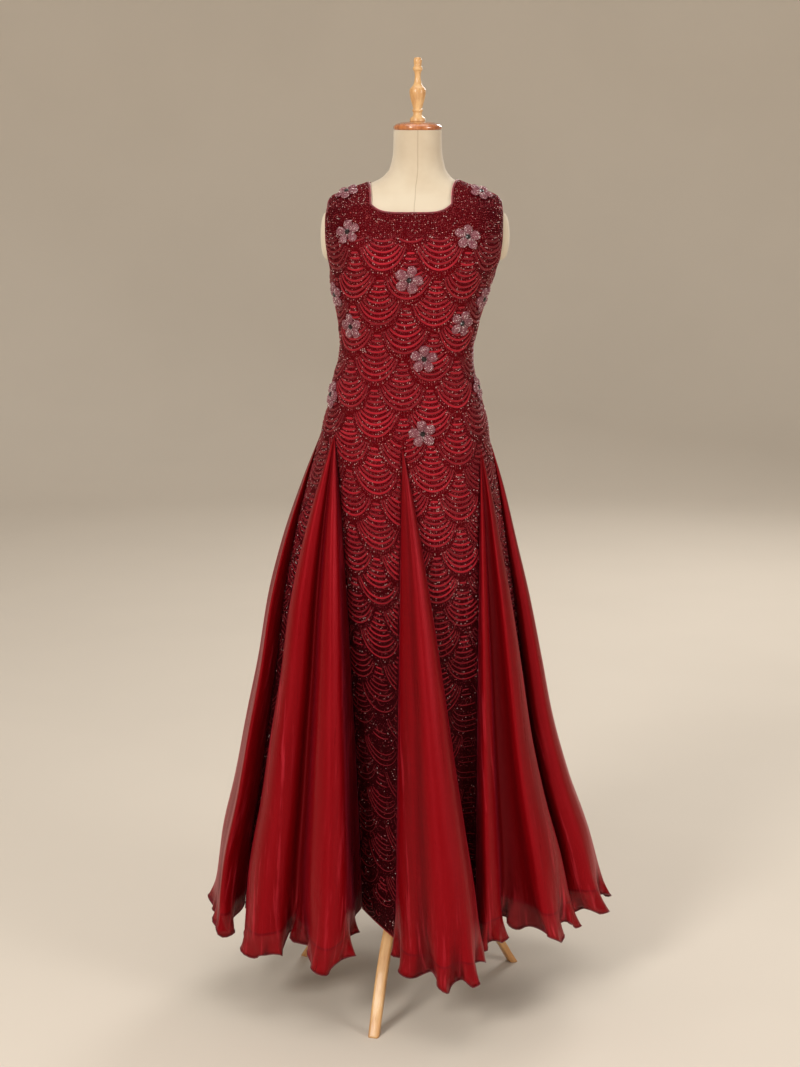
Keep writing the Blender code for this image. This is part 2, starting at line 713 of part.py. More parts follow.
def loft(name, sections, material, flat=False):
    """A closed solid through rings of equal count, capped at both ends."""
    size = len(sections[0])
    points = [point for section in sections for point in section]
    faces = []
    for i in range(len(sections) - 1):
        for k in range(size):
            m = (k + 1) % size
            a = i * size
            faces.append((a + k, a + m, a + size + m))
            faces.append((a + k, a + size + m, a + size + k))
    last = (len(sections) - 1) * size
    for k in range(1, size - 1):
        faces.append((0, k + 1, k))
        faces.append((last, last + k, last + k + 1))
    return add_mesh(name, points, outward(points, faces), material, flat)


def turned(name, profile, centre_x, material, steps):
    """A turned solid: the profile runs down its outer side and a Screw takes it round."""
    mesh = bpy.data.meshes.new(name)
    edges = [(i, i + 1) for i in range(len(profile) - 1)]
    mesh.from_pydata([(radius, 0, z) for radius, z in profile], edges, [])
    made = bpy.data.objects.new(name, mesh)
    bpy.data.collections[OBJECT].objects.link(made)
    made.data.materials.append(material)
    made.location = (centre_x, 0, 0)
    screw = made.modifiers.new("Screw", "SCREW")
    screw.steps = steps
    screw.render_steps = steps
    screw.use_merge_vertices = True
    screw.merge_threshold = 0.00005
    screw.use_smooth_shade = True
    return made


def build_form(materials):
    angles = np.linspace(-180, 180, FORM_COLUMNS + 1)[:-1]
    heights = FORM_ROWS
    sections = []
    for z in heights:
        ring = form_surface(angles, z)
        share = float(smooth(TAPER, z, 1))
        middle = np.array([float(smooth(FORM, z, 1)), 0.0])
        ring[:, :2] = middle + (ring[:, :2] - middle) * share
        if z > 1.445:
            ring[:, 0] = np.clip(ring[:, 0], ARM_MIDDLE - ARM_CUT, ARM_MIDDLE + ARM_CUT)
        sections.append(ring)
    made = loft("form_torso", sections, materials["form"])
    for name, turn, reach in (("arm_plate_left", -1, 0.1790), ("arm_plate_right", 1, 0.1840)):
        rings = []
        start = ARM_CUT + 0.0004
        for share, size in ((0.0, 1.0), (0.35, 1.0), (0.62, 0.93), (0.85, 0.74), (0.96, 0.45), (1.0, 0.15)):
            x = ARM_MIDDLE + turn * (start + (reach - start) * share)
            turns = np.linspace(0, 2 * math.pi, 21)[:-1]
            rings.append([(x, 0.031 * size * math.cos(a), 1.539 + 0.047 * size * math.sin(a))
                          for a in turns])
        loft(name, rings, materials["form"])
    turned("neck_cap", CAP, 0.005, materials["cap"], 24)
    turned("finial", FINIAL, 0.005, materials["finial"], 16)
    return made


def build_stand(materials):
    turned("hub", HUB + (HUB[0],), POLE_X, materials["leg"], 20)
    rings = []
    for z in (HUB_BOTTOM - 0.004, FORM_BOTTOM - EDGE_GAP):
        turns = np.linspace(0, 2 * math.pi, 25)[:-1]
        rings.append([(POLE_X + POLE_RADIUS * math.cos(a), POLE_RADIUS * math.sin(a), z) for a in turns])
    loft("pole", rings, materials["pole"])
    for name, angle in zip(("leg_front", "leg_back_right", "leg_back_left"), LEG_ANGLES):
        out = Vector((math.sin(math.radians(angle)), -math.cos(math.radians(angle)), 0))
        across = Vector((out.y, -out.x, 0))
        sections = []
        for reach, z, slope, width, thick in LEG:
            up = Vector((0, 0, 1)) * math.cos(math.radians(slope)) + out * math.sin(math.radians(slope))
            at = Vector((POLE_X, 0, z)) + out * reach
            ring = []
            for a, b in LEG_RING:
                ring.append(tuple(at + across * (a * width) + up * (b * thick)))
            sections.append(ring)
        reach, z, width, thick = LEG_END
        at = Vector((POLE_X, 0, z)) + out * reach
        sections.append([tuple(at + across * (a * width) + out * (b * thick)) for a, b in LEG_RING])
        loft(name, sections, materials["leg"])


def build_flowers(trees, materials):
    for name, x, z, size, turn in FLOWERS:
        angle = form_angle(x, z)
        centre, _ = on_gown(angle, z)
        normal = form_normal(angle, z)
        normal = normal / np.linalg.norm(normal)
        across = np.cross([0, 0, 1.0], normal)
        across = across / np.linalg.norm(across)
        up = np.cross(normal, across)

        def drop(radius, turned_by, lift):
            start = centre + radius * (across * math.cos(turned_by) + up * math.sin(turned_by))
            begin = Vector(start + 0.05 * normal)
            best = None
            for tree in trees:
                hit = tree.ray_cast(begin, Vector(-normal), 0.075)
                if hit[0] is not None and (best is None or hit[3] < best):
                    best = hit[3]
            depth = max(0.05 - best, -0.010) if best is not None else 0.0
            return start + (depth + lift) * normal

        rings = []
        count = 15
        for share, lift in ((0.45, FLOWER_LIFT), (1.0, FLOWER_LIFT), (1.0, 0.0022), (0.62, 0.0036),
                            (0.24, 0.0026)):
            ring = []
            for k in range(count):
                petal = 1.0 if k % 3 else 0.56
                reach = FLOWER_RADIUS * size * (share * petal if share > 0.5 else share)
                wide = 2 * math.pi * (k + (0.12 if k % 3 == 1 else -0.12 if k % 3 == 2 else 0)) / count
                ring.append(tuple(drop(reach, wide + math.radians(turn), lift)))
            rings.append(ring)
        points = [point for ring in rings for point in ring]
        faces = []
        for i in range(len(rings) - 1):
            for k in range(count):
                m = (k + 1) % count
                a = i * count
                faces.append((a + k, a + m, a + count + m))
                faces.append((a + k, a + count + m, a + count + k))
        points.append(tuple(drop(0.0, 0.0, FLOWER_LIFT)))
        points.append(tuple(drop(0.0, 0.0, 0.0060)))
        base = len(points) - 2
        last = (len(rings) - 1) * count
        for k in range(count):
            m = (k + 1) % count
            faces.append((base, m, k))
            faces.append((base + 1, last + k, last + m))
        add_mesh(name, points, outward(points, faces), materials["flower"])


def build_gown(materials):
    levels = skirt_rows()
    made = {}
    trees = []
    for name in BODIES:
        sheet, rows, straps = lace_sheet(name, levels)
        made[name] = (sheet, rows, straps)
        points, faces = sheet.closed()
        add_mesh(name, points, faces, materials["lace"])
        trees.append(BVHTree.FromPolygons([Vector(p) for p in sheet.outer], sheet.faces))
    for i, piece in enumerate(HEM):
        if piece[1] != "godet":
            continue
        sheet = Sheet()
        last = None
        for row in range(1, len(ROWS)):
            now = sheet.row(*levels[row][i])
            if last:
                sheet.between(last, now)
            last = now
        points, faces = sheet.closed()
        add_mesh(piece[0], points, faces, materials["organza"])
        if piece[0] == "godet_front":
            trees.append(BVHTree.FromPolygons([Vector(p) for p in sheet.outer], sheet.faces))
    add_bindings(made, materials)
    build_flowers(trees, materials)


def add_bindings(made, materials):
    front, front_rows, front_straps = made["lace_front"]
    right, right_rows, right_straps = made["lace_back_right"]
    left, left_rows, left_straps = made["lace_back_left"]
    strap = BODIES["lace_front"]["strap"]
    back_strap = BODIES["lace_back_right"]["strap"]
    neck = edge_points(front, front_rows[-1][strap:len(front_rows[-1]) - strap])
    neck += edge_points(front, [row[0] for row in front_straps["front_right"][1:]])
    neck += edge_points(right, [row[-1] for row in right_straps["back_right"][-2::-1]])
    neck += edge_points(right, right_rows[-1][back_strap + 1:])
    neck += edge_points(left, left_rows[-1][1:len(left_rows[-1]) - back_strap])
    neck += edge_points(left, [row[0] for row in left_straps["back_left"][1:-1]])
    neck += edge_points(front, [row[-1] for row in front_straps["front_left"][:0:-1]])
    binding("neck_binding", neck, (0.0, -0.01, 1.66), materials["binding"])
    low = [i for i, z in enumerate((0,) + BODY_ROWS + (9,) * (len(TOP_ROWS) + 1)) if z >= UNDERARM]
    for side in ("left", "right"):
        end = 0 if side == "left" else -1
        other = -1 if side == "left" else 0
        back, back_rows = (left, left_rows) if side == "left" else (right, right_rows)
        back_held = (left_straps if side == "left" else right_straps)["back_" + side]
        arm = edge_points(front, [front_rows[i][end] for i in low])
        arm += edge_points(front, [row[end] for row in front_straps["front_" + side][1:]])
        arm += edge_points(back, [row[other] for row in back_held[-2::-1]])
        arm += edge_points(back, [back_rows[i][other] for i in reversed(low[1:-1])])
        turn = -1 if side == "left" else 1
        binding("armhole_binding_" + side, arm, (turn * 0.16, 0.0, 1.535), materials["binding"])


def main():
    for held in list(bpy.data.objects):
        bpy.data.objects.remove(held, do_unlink=True)
    collection = bpy.data.collections.new(OBJECT)
    bpy.context.scene.collection.children.link(collection)
    materials = {
        "lace": add_material("lace_net", rgba(104, 18, 32), 0.62),
        "organza": add_material("organza", rgba(138, 14, 26), 0.38),
        "binding": add_material("satin_binding", rgba(150, 60, 66), 0.5),
        "flower": add_material("beaded_petals", rgba(176, 104, 116), 0.45),
        "form": add_material("form_cover", rgba(214, 200, 180), 0.8),
        "cap": add_material("varnished_cap", rgba(190, 112, 54), 0.25),
        "finial": add_material("turned_wood", rgba(214, 176, 118), 0.5),
        "leg": add_material("bent_wood", rgba(190, 138, 82), 0.5),
        "pole": add_material("pole_wood", rgba(184, 132, 78), 0.5),
    }
    build_form(materials)
    build_stand(materials)
    build_gown(materials)
    for made in collection.objects:
        made.data.transform(Matrix.Translation(Vector(SHIFT)) if not made.modifiers else Matrix())
        if made.modifiers:
            made.location = made.location + Vector(SHIFT)


main()
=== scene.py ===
"""A sleeveless net gown with organza godets on a limbless dress form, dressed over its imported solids.

Metres, +Z up, the gown's front toward -Y. Every surface is worked out from the same named tables as
the solids, on finer grids: the body follows the form's sections, and the skirt its plan outlines.
"""
import math

import bpy
import mathutils
import numpy as np
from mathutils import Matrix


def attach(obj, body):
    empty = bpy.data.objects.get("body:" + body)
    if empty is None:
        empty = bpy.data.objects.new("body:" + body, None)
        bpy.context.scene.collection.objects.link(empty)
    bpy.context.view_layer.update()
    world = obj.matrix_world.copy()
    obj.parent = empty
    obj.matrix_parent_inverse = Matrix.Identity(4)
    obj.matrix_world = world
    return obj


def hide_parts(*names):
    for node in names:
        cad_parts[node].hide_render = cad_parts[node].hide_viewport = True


bl_info = {
    "name": "Net gown on a dress form",
    "version": (1, 0, 0),
    "blender": (4, 5, 0),
    "location": "3D View > Sidebar > Gown",
    "description": "Beaded scallop lace, organza godets, beaded flowers and a wooden stand",
    "category": "Object",
}

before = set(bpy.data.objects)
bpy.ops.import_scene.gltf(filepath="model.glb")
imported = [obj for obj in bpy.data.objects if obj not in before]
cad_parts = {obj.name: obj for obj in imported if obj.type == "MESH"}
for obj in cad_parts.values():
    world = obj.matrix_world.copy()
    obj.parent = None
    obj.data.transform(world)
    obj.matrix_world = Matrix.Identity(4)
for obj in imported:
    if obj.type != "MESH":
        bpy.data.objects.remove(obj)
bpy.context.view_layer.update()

# Sizes shared with the solids, in metres
SHIFT = np.array([0.010, 0.0, 0.0])
CLOTH_OUT = 0.0036
POLE_X = -0.018
POLE_RADIUS = 0.0125
FORM_BOTTOM = 1.000
HUB_BOTTOM = 0.172
LEG_ANGLES = (-14.0, 116.0, 236.0)
ARM_X = 0.1630
ARM_CUT = 0.1570
ARM_MIDDLE = -0.002
BODY_BOTTOM = 1.178
BODY_TOP = 1.545
WAVE = 0.0058
WAVE_Z = 0.0030
STRAP = 5

# The form's sections: height, centre x, half width, front depth, back depth, squareness
FORM = np.array([
    (1.000, -0.0185, 0.1610, 0.113, 0.124, 0.04),
    (1.145, -0.0185, 0.1610, 0.113, 0.124, 0.04),
    (1.166, -0.0180, 0.1590, 0.113, 0.123, 0.04),
    (1.186, -0.0175, 0.1555, 0.113, 0.121, 0.04),
    (1.211, -0.0170, 0.1480, 0.111, 0.116, 0.04),
    (1.241, -0.0190, 0.1410, 0.108, 0.108, 0.04),
    (1.270, -0.0195, 0.1340, 0.103, 0.099, 0.04),
    (1.300, -0.0175, 0.1275, 0.098, 0.092, 0.04),
    (1.328, -0.0155, 0.1260, 0.095, 0.088, 0.04),
    (1.357, -0.0130, 0.1300, 0.097, 0.089, 0.04),
    (1.387, -0.0110, 0.1350, 0.102, 0.093, 0.04),
    (1.416, -0.0095, 0.1425, 0.108, 0.098, 0.04),
    (1.445, -0.0080, 0.1505, 0.113, 0.103, 0.04),
    (1.474, -0.0040, 0.1590, 0.115, 0.107, 0.04),
    (1.503, -0.0020, 0.1660, 0.112, 0.109, 0.09),
    (1.545, -0.0020, 0.1690, 0.097, 0.107, 0.12),
    (1.580, -0.0020, 0.1690, 0.079, 0.099, 0.10),
    (1.600, -0.0015, 0.1670, 0.066, 0.088, 0.05),
    (1.612, 0.0000, 0.1560, 0.057, 0.078, 0.00),
    (1.622, 0.0005, 0.1330, 0.051, 0.069, 0.00),
    (1.632, 0.0010, 0.1060, 0.048, 0.061, 0.00),
    (1.639, 0.0020, 0.0870, 0.047, 0.056, 0.00),
    (1.650, 0.0035, 0.0670, 0.047, 0.051, 0.00),
    (1.668, 0.0050, 0.0530, 0.046, 0.048, 0.00),
    (1.700, 0.0050, 0.0465, 0.045, 0.046, 0.00),
    (1.7385, 0.0050, 0.0455, 0.045, 0.045, 0.00),
])
# How far the form is drawn in under the hips and the shoulders: height, share of the section
TAPER = np.array([
    (1.000, 0.790),
    (1.060, 0.870),
    (1.105, 0.930),
    (1.138, 0.975),
    (1.158, 1.000),
    (1.480, 1.000),
    (1.560, 0.993),
    (1.600, 0.988),
    (1.630, 0.985),
    (1.650, 0.987),
    (1.690, 1.000),
    (1.900, 1.000),
])
# Bust: centre x, height, size across, size up, rise
BUST = (
    (-0.088, 1.478, 0.050, 0.052, 0.015),
    (0.078, 1.478, 0.050, 0.052, 0.015),
)
# Armhole edge: height, angle from the middle of the front, and from the middle of the back
ARMHOLE = np.array([
    (1.000, 90.0, 90.0),
    (1.452, 90.0, 90.0),
    (1.464, 79.0, 80.0),
    (1.482, 71.5, 73.0),
    (1.510, 67.5, 69.0),
    (1.545, 66.5, 67.5),
    (1.575, 69.5, 70.0),
    (1.600, 75.0, 75.5),
])
# Hip points from which the godets open: angle, height
APEX = np.array([
    (-90.0, 1.160),
    (-54.0, 1.168),
    (-2.0, 1.150),
    (59.0, 1.142),
    (90.0, 1.148),
    (125.0, 1.150),
    (180.0, 1.150),
    (235.0, 1.152),
    (270.0, 1.160),
])
# Share of the way from hip to hem, against share of the width gained: left, middle, right
SPREAD = np.array([
    (0.000, 0.00, 0.00, 0.00),
    (0.100, 0.17, 0.14, 0.12),
    (0.216, 0.34, 0.29, 0.23),
    (0.338, 0.475, 0.43, 0.345),
    (0.470, 0.57, 0.58, 0.45),
    (0.593, 0.68, 0.71, 0.545),
    (0.725, 0.79, 0.83, 0.69),
    (0.857, 0.92, 0.93, 0.87),
    (1.000, 1.00, 1.00, 1.00),
])
# Each piece round the hem, from the left side forward and round: name, kind, hip angles, columns or
# hem waves, and its hem points as x, distance in front of the axis, height
HEM = (
    ("godet_side_left", "godet", -90.0, -90.0, 4, (
        (-0.325, -0.100, 0.178), (-0.375, -0.122, 0.170), (-0.404, -0.080, 0.176),
        (-0.414, -0.020, 0.180), (-0.404, 0.045, 0.160), (-0.396, 0.092, 0.146),
        (-0.374, 0.078, 0.156), (-0.345, 0.030, 0.178))),
    ("strip_side_left", "lace", -90.0, -54.0, 5, (
        (-0.345, 0.030, 0.178), (-0.330, 0.018, 0.182), (-0.316, 0.042, 0.178))),
    ("godet_front_left", "godet", -54.0, -54.0, 5, (
        (-0.316, 0.042, 0.178), (-0.344, 0.125, 0.148), (-0.303, 0.178, 0.136),
        (-0.268, 0.168, 0.140), (-0.238, 0.140, 0.166), (-0.200, 0.232, 0.142),
        (-0.168, 0.252, 0.138), (-0.144, 0.240, 0.141), (-0.126, 0.160, 0.168),
        (-0.105, 0.078, 0.198))),
    ("strip_front_left", "lace", -54.0, -2.0, 8, (
        (-0.105, 0.078, 0.198), (-0.071, 0.128, 0.184), (-0.035, 0.165, 0.166))),
    ("godet_front", "godet", -2.0, -2.0, 5, (
        (-0.035, 0.165, 0.166), (-0.030, 0.226, 0.142), (0.014, 0.272, 0.136),
        (0.068, 0.300, 0.130), (0.108, 0.286, 0.130), (0.130, 0.245, 0.138),
        (0.104, 0.160, 0.166))),
    ("strip_front_right", "lace", -2.0, 59.0, 8, (
        (0.104, 0.160, 0.166), (0.094, 0.130, 0.176), (0.108, 0.114, 0.182),
        (0.122, 0.126, 0.180))),
    ("godet_front_right", "godet", 59.0, 59.0, 5, (
        (0.122, 0.126, 0.180), (0.147, 0.186, 0.156), (0.167, 0.165, 0.162),
        (0.187, 0.106, 0.184), (0.219, 0.112, 0.180), (0.262, 0.154, 0.163),
        (0.300, 0.124, 0.164), (0.320, 0.072, 0.168), (0.290, 0.030, 0.182))),
    ("strip_side_right", "lace", 59.0, 90.0, 5, (
        (0.290, 0.030, 0.182), (0.282, 0.008, 0.186), (0.302, -0.008, 0.186))),
    ("godet_side_right", "godet", 90.0, 90.0, 4, (
        (0.302, -0.008, 0.186), (0.344, 0.046, 0.170), (0.374, 0.034, 0.172),
        (0.394, -0.030, 0.184), (0.388, -0.090, 0.180), (0.355, -0.120, 0.172),
        (0.308, -0.100, 0.180))),
    ("strip_back_side_right", "lace", 90.0, 125.0, 5, (
        (0.308, -0.100, 0.180), (0.284, -0.112, 0.184), (0.288, -0.138, 0.180))),
    ("godet_back_right", "godet", 125.0, 125.0, 4, (
        (0.288, -0.138, 0.180), (0.332, -0.168, 0.166), (0.318, -0.214, 0.160),
        (0.268, -0.230, 0.158), (0.236, -0.204, 0.170), (0.218, -0.264, 0.156),
        (0.176, -0.292, 0.150), (0.143, -0.264, 0.156), (0.126, -0.205, 0.172))),
    ("strip_back_right", "lace", 125.0, 180.0, 7, (
        (0.126, -0.205, 0.172), (0.090, -0.196, 0.174), (0.054, -0.208, 0.170))),
    ("godet_back", "godet", 180.0, 180.0, 4, (
        (0.054, -0.208, 0.170), (0.084, -0.272, 0.152), (0.050, -0.308, 0.142),
        (0.000, -0.290, 0.146), (-0.048, -0.310, 0.142), (-0.090, -0.276, 0.152),
        (-0.062, -0.208, 0.170))),
    ("strip_back_left", "lace", 180.0, 235.0, 7, (
        (-0.062, -0.208, 0.170), (-0.100, -0.196, 0.174), (-0.136, -0.205, 0.172))),
    ("godet_back_left", "godet", 235.0, 235.0, 4, (
        (-0.136, -0.205, 0.172), (-0.152, -0.264, 0.156), (-0.190, -0.292, 0.150),
        (-0.232, -0.256, 0.156), (-0.250, -0.208, 0.168), (-0.296, -0.234, 0.160),
        (-0.340, -0.204, 0.162), (-0.348, -0.160, 0.166), (-0.304, -0.136, 0.178))),
    ("strip_back_side_left", "lace", 235.0, 270.0, 5, (
        (-0.304, -0.136, 0.178), (-0.298, -0.112, 0.184), (-0.325, -0.100, 0.178))),
)
# Front yoke: corner x, yoke height at the middle, at the corner, at the armhole; shoulder x at the
# neck and at the tip
YOKE = {
    "front_left": (-0.086, 1.5830, 1.6000, 1.5880, -0.0900, -0.1580),
    "front_right": (0.071, 1.5830, 1.6000, 1.5880, 0.0850, 0.1560),
    "back_right": (0.078, 1.6130, 1.6190, 1.5950, 0.0850, 0.1560),
    "back_left": (-0.084, 1.6130, 1.6190, 1.5950, -0.0900, -0.1580),
}
# Beaded flowers: name, x, height, size, turn in degrees
FLOWERS = (
    ("flower_shoulder_left", -0.128, 1.619, 0.92, 12.0),
    ("flower_shoulder_right", 0.124, 1.619, 0.92, 40.0),
    ("flower_chest_left", -0.125, 1.549, 0.95, 30.0),
    ("flower_chest_right", 0.097, 1.540, 1.00, 8.0),
    ("flower_bust", -0.012, 1.464, 1.08, 0.0),
    ("flower_bust_left", -0.147, 1.432, 1.00, 20.0),
    ("flower_bust_right", 0.126, 1.424, 1.00, 50.0),
    ("flower_rib_left", -0.118, 1.372, 0.98, 25.0),
    ("flower_rib_right", 0.086, 1.380, 1.02, 5.0),
    ("flower_waist", -0.016, 1.312, 1.05, 15.0),
    ("flower_hip_left", -0.156, 1.236, 1.10, 0.0),
    ("flower_hip_right", 0.117, 1.248, 0.95, 33.0),
    ("flower_hip", -0.014, 1.172, 1.05, 28.0),
)
# A flower's radius, and its petals as shares of it: middle, half length and half width
FLOWER_RADIUS = 0.0245
PETAL = (0.60, 0.44, 0.355)
# A petal from its middle over its edge and under: share of its half size, height
PETAL_OUTLINE = np.array([
    (0.00, 0.0044), (0.35, 0.0042), (0.62, 0.0037), (0.84, 0.0029),
    (0.97, 0.0018), (1.00, 0.0012), (0.94, 0.0004), (0.00, 0.0002),
])
# Rings of beads on a petal: share of its half size, height, number of beads
PETAL_BEADS = ((0.93, 0.0026, 20), (0.66, 0.0041, 14), (0.38, 0.0047, 8), (0.0, 0.0049, 1))
# The crystal's outline, from its top down, and the ring of beads round it: radius, height
CRYSTAL = np.array([
    (0.0000, 0.0063), (0.0022, 0.0062), (0.0040, 0.0052), (0.0050, 0.0034), (0.0046, 0.0010),
])
CRYSTAL_BEADS = (0.0060, 0.0034)
# Bound edges: name, the solid's name, middle of the opening
BINDINGS = (
    ("neck", "neck_binding", (0.0, -0.01, 1.66)),
    ("armhole_left", "armhole_binding_left", (-0.16, 0.0, 1.535)),
    ("armhole_right", "armhole_binding_right", (0.16, 0.0, 1.535)),
)
# Finial outline, from its point down: radius, height
FINIAL = (
    (0.0000, 1.8730), (0.0060, 1.8722), (0.0076, 1.8690), (0.0076, 1.8560), (0.0088, 1.8545),
    (0.0088, 1.8495), (0.0074, 1.8480), (0.0074, 1.8250), (0.0090, 1.8215), (0.0150, 1.8140),
    (0.0156, 1.8095), (0.0135, 1.7960), (0.0090, 1.7800), (0.0086, 1.7780), (0.0100, 1.7765),
    (0.0100, 1.7735), (0.0086, 1.7715), (0.0090, 1.7650), (0.0140, 1.7600), (0.0148, 1.7545),
    (0.0000, 1.7545),
)
# Cap outline, from its middle down: radius, height
CAP = (
    (0.0000, 1.7541), (0.0150, 1.7539), (0.0330, 1.7520), (0.0430, 1.7485), (0.0462, 1.7450),
    (0.0462, 1.7410), (0.0448, 1.7389), (0.0000, 1.7389),
)
# Hub outline: radius, height
HUB = (
    (0.0129, 0.2320), (0.0250, 0.2320), (0.0320, 0.2260), (0.0350, 0.2180), (0.0350, 0.1840),
    (0.0320, 0.1760), (0.0250, 0.1720), (0.0129, 0.1720),
)
# Leg sections along its bend: distance from the pole, height, slope in degrees, width, thickness
LEG = (
    (0.0354, 0.2010, 0.0, 0.0240, 0.0200),
    (0.0640, 0.1998, 6.0, 0.0240, 0.0190),
    (0.1000, 0.1890, 24.0, 0.0235, 0.0180),
    (0.1330, 0.1670, 40.0, 0.0230, 0.0170),
    (0.1620, 0.1380, 49.0, 0.0230, 0.0160),
    (0.1880, 0.1060, 54.0, 0.0228, 0.0155),
    (0.2110, 0.0720, 58.0, 0.0226, 0.0150),
    (0.2330, 0.0370, 59.0, 0.0222, 0.0145),
    (0.2450, 0.0160, 60.0, 0.0218, 0.0145),
)
# The foot's end: distance from the pole, width, thickness
LEG_END = (0.2550, 0.0210, 0.0170)
# How much of a corner a leg's section keeps: 1 would be an ellipse, 0 a rectangle
LEG_SQUARE = 0.42
# How far the lace lies off the form at the hips, where the skirt begins
HIP_OUT = 0.0038
# The godets: share of the way down where the fish-line hem starts to swing, and the length of a wave
RUFFLE_FROM = 0.915
LETTUCE_FROM = 0.962
HEM_WAVE = 0.088
# Points of a piece closer than this are one
WELD = 1e-6
# Distances on the lace's pattern, in metres, each with the length of its change: down from where
# the cords get sparse, outward from where painted shade darkens them, and upward from where they get darker
THIN = (0.68, 0.36)
SIDE_SHADE = (0.095, 0.070)
YOKE_DARKER = (0.075, 0.020)
# How far under its even share of the scallop each cord lies
SWAG_DROP = 0.02
# Points along a cord and along a row of beads
CORD_POINTS = 27
BEAD_POINTS = 28
# How far the godets' soft flares swing to each side. A hem wave rises by this share of its swing,
# and the small curls at its edge are this share as large and turn this much more often
FLARE = 0.0030
WAVE_LIFT = 0.62
CURL_SHARE = 0.40
CURL_TURNS = 2.3
# Between these heights the lace turns from its hip angles to its yoke angles
TURN_FROM = 1.19
TURN_TO = 1.44
# Points to each step of a turned or bent outline
FINE = 6
# The cut arms start at this height. The plates over them: half depth, half height, height; then
# each one's name, side and reach; and their outline: share of the reach, share of the size
ARM_FROM = 1.445
PLATE = (0.031, 0.047, 1.539)
ARM_PLATES = (("arm_plate_left", -1, 0.1790), ("arm_plate_right", 1, 0.1840))
PLATE_OUTLINE = np.array([
    (0.00, 0.000), (0.00, 1.000), (0.35, 1.000), (0.55, 0.955), (0.70, 0.880),
    (0.82, 0.760), (0.92, 0.560), (0.98, 0.320), (1.00, 0.150), (1.00, 0.000),
])
# Studio floor: how far it is level, and the radius of its bend up to the backdrop
FLOOR_REACH = 5.4
FLOOR_BEND = 2.0
# Soft lights: name, place, point lit, size, power, colour
LIGHTS = (
    ("key", (-2.4, -3.6, 3.2), (0, 0, 1.0), 1.5, 140.0, (1.0, 0.97, 0.93)),
    ("fill", (3.4, -2.6, 2.0), (0, 0, 0.9), 1.6, 66.0, (1.0, 0.98, 0.96)),
    ("low", (-0.6, -4.6, 1.3), (0, 0, 0.6), 1.6, 20.0, (1.0, 0.98, 0.96)),
    ("back", (2.0, 4.2, 3.2), (0, 0, 1.0), 2.0, 90.0, (1.0, 0.98, 0.96)),
    ("top", (0.0, 0.0, 5.2), (0, 0, 0.0), 4.0, 75.0, (1.0, 0.98, 0.95)),
)
# The photo's camera: place, degrees it looks down, focal length on a 36 mm sensor
CAMERA_PLACE = (-0.0185, -3.88, 1.765)
CAMERA_DOWN = 11.8
FOCAL_LENGTH = 67.48

# Lace pieces: their strips below the hips (rows of HEM), the yokes at their ends, and whether on the back
LACE = {
    "lace_front": {"strips": (1, 3, 5, 7), "left": "front_left", "right": "front_right", "back": False,
                   "middle": 13.0, "flat": (0.62, 1.52), "area": 0.52},
    "lace_back_right": {"strips": (9, 11), "left": None, "right": "back_right", "back": True,
                        "middle": 12.0, "flat": (0.34, 1.50), "area": 0.27},
    "lace_back_left": {"strips": (13, 15), "left": "back_left", "right": None, "back": True,
                       "middle": 0.0, "flat": (0.34, 1.50), "area": 0.27},
}


def unit(vectors):
    """The vectors scaled to a length of one. One of no length stays as it is."""
    return vectors / np.maximum(np.linalg.norm(vectors, axis=-1, keepdims=True), 1e-12)


def rising(value, start, length):
    """A share that rises from 0 at the start to 1 after this length."""
    return np.clip((value - start) / length, 0, 1)


def cubic(start, end, first, last, step, s):
    """A cubic at the share s of a step, between two values with these slopes."""
    low = start * (1 + 2 * s) * (1 - s) ** 2 + first * step * s * (1 - s) ** 2
    return low + end * s * s * (3 - 2 * s) + last * step * s * s * (s - 1)


def smooth(table, at, column):
    """The table's column at these values of its first column, as a cubic with limited slopes."""
    xs = table[:, 0]
    ys = table[:, column]
    slopes = np.diff(ys) / np.diff(xs)
    tangent = np.concatenate([slopes[:1], np.zeros(len(slopes) - 1), slopes[-1:]])
    same = np.nonzero(slopes[:-1] * slopes[1:] > 0)[0]
    tangent[same + 1] = 2 * slopes[same] * slopes[same + 1] / (slopes[same] + slopes[same + 1])
    at = np.clip(np.asarray(at, float), xs[0], xs[-1])
    i = np.clip(np.searchsorted(xs, at) - 1, 0, len(xs) - 2)
    step = xs[i + 1] - xs[i]
    return cubic(ys[i], ys[i + 1], tangent[i], tangent[i + 1], step, (at - xs[i]) / step)


def form_surface(angle, z):
    """The form: a squared ellipse at each height, its widths and depths from FORM, with two rounded
    rises for the bust. Angles are degrees from the front, rising to the right."""
    angle = np.radians(np.asarray(angle, float))
    z = np.asarray(z, float) + 0 * angle
    angle = angle + 0 * z
    sine = np.sin(angle)
    cosine = np.cos(angle)
    square = 1 + smooth(FORM, z, 5) * np.sin(2 * angle) ** 2
    x = smooth(FORM, z, 1) + smooth(FORM, z, 2) * sine * square
    depth = np.where(cosine > 0, smooth(FORM, z, 3), smooth(FORM, z, 4))
    y = -depth * cosine * square
    for centre, height, across, up, rise in BUST:
        bump = np.exp(-((x - centre) / across) ** 2 - ((z - height) / up) ** 2)
        y = y - rise * bump * np.clip(cosine * 2.5, 0, 1)
    return np.stack([x, y, z], axis=-1)


def form_normal(angle, z):
    """Outward unit normals of the form: the cross product of two short steps, across and up."""
    angle = np.asarray(angle, float)
    z = np.asarray(z, float)
    across = form_surface(angle + 0.5, z) - form_surface(angle - 0.5, z)
    up = form_surface(angle, z + 0.0008) - form_surface(angle, z - 0.0008)
    return unit(np.cross(across, up))


def halved(low, high, too_small):
    """Where a test changes from true to false between low and high, by halving forty times."""
    low = low * 1.0
    high = high * 1.0
    for _ in range(40):
        middle = (low + high) / 2
        more = too_small(middle)
        low = np.where(more, middle, low)
        high = np.where(more, high, middle)
    return (low + high) / 2


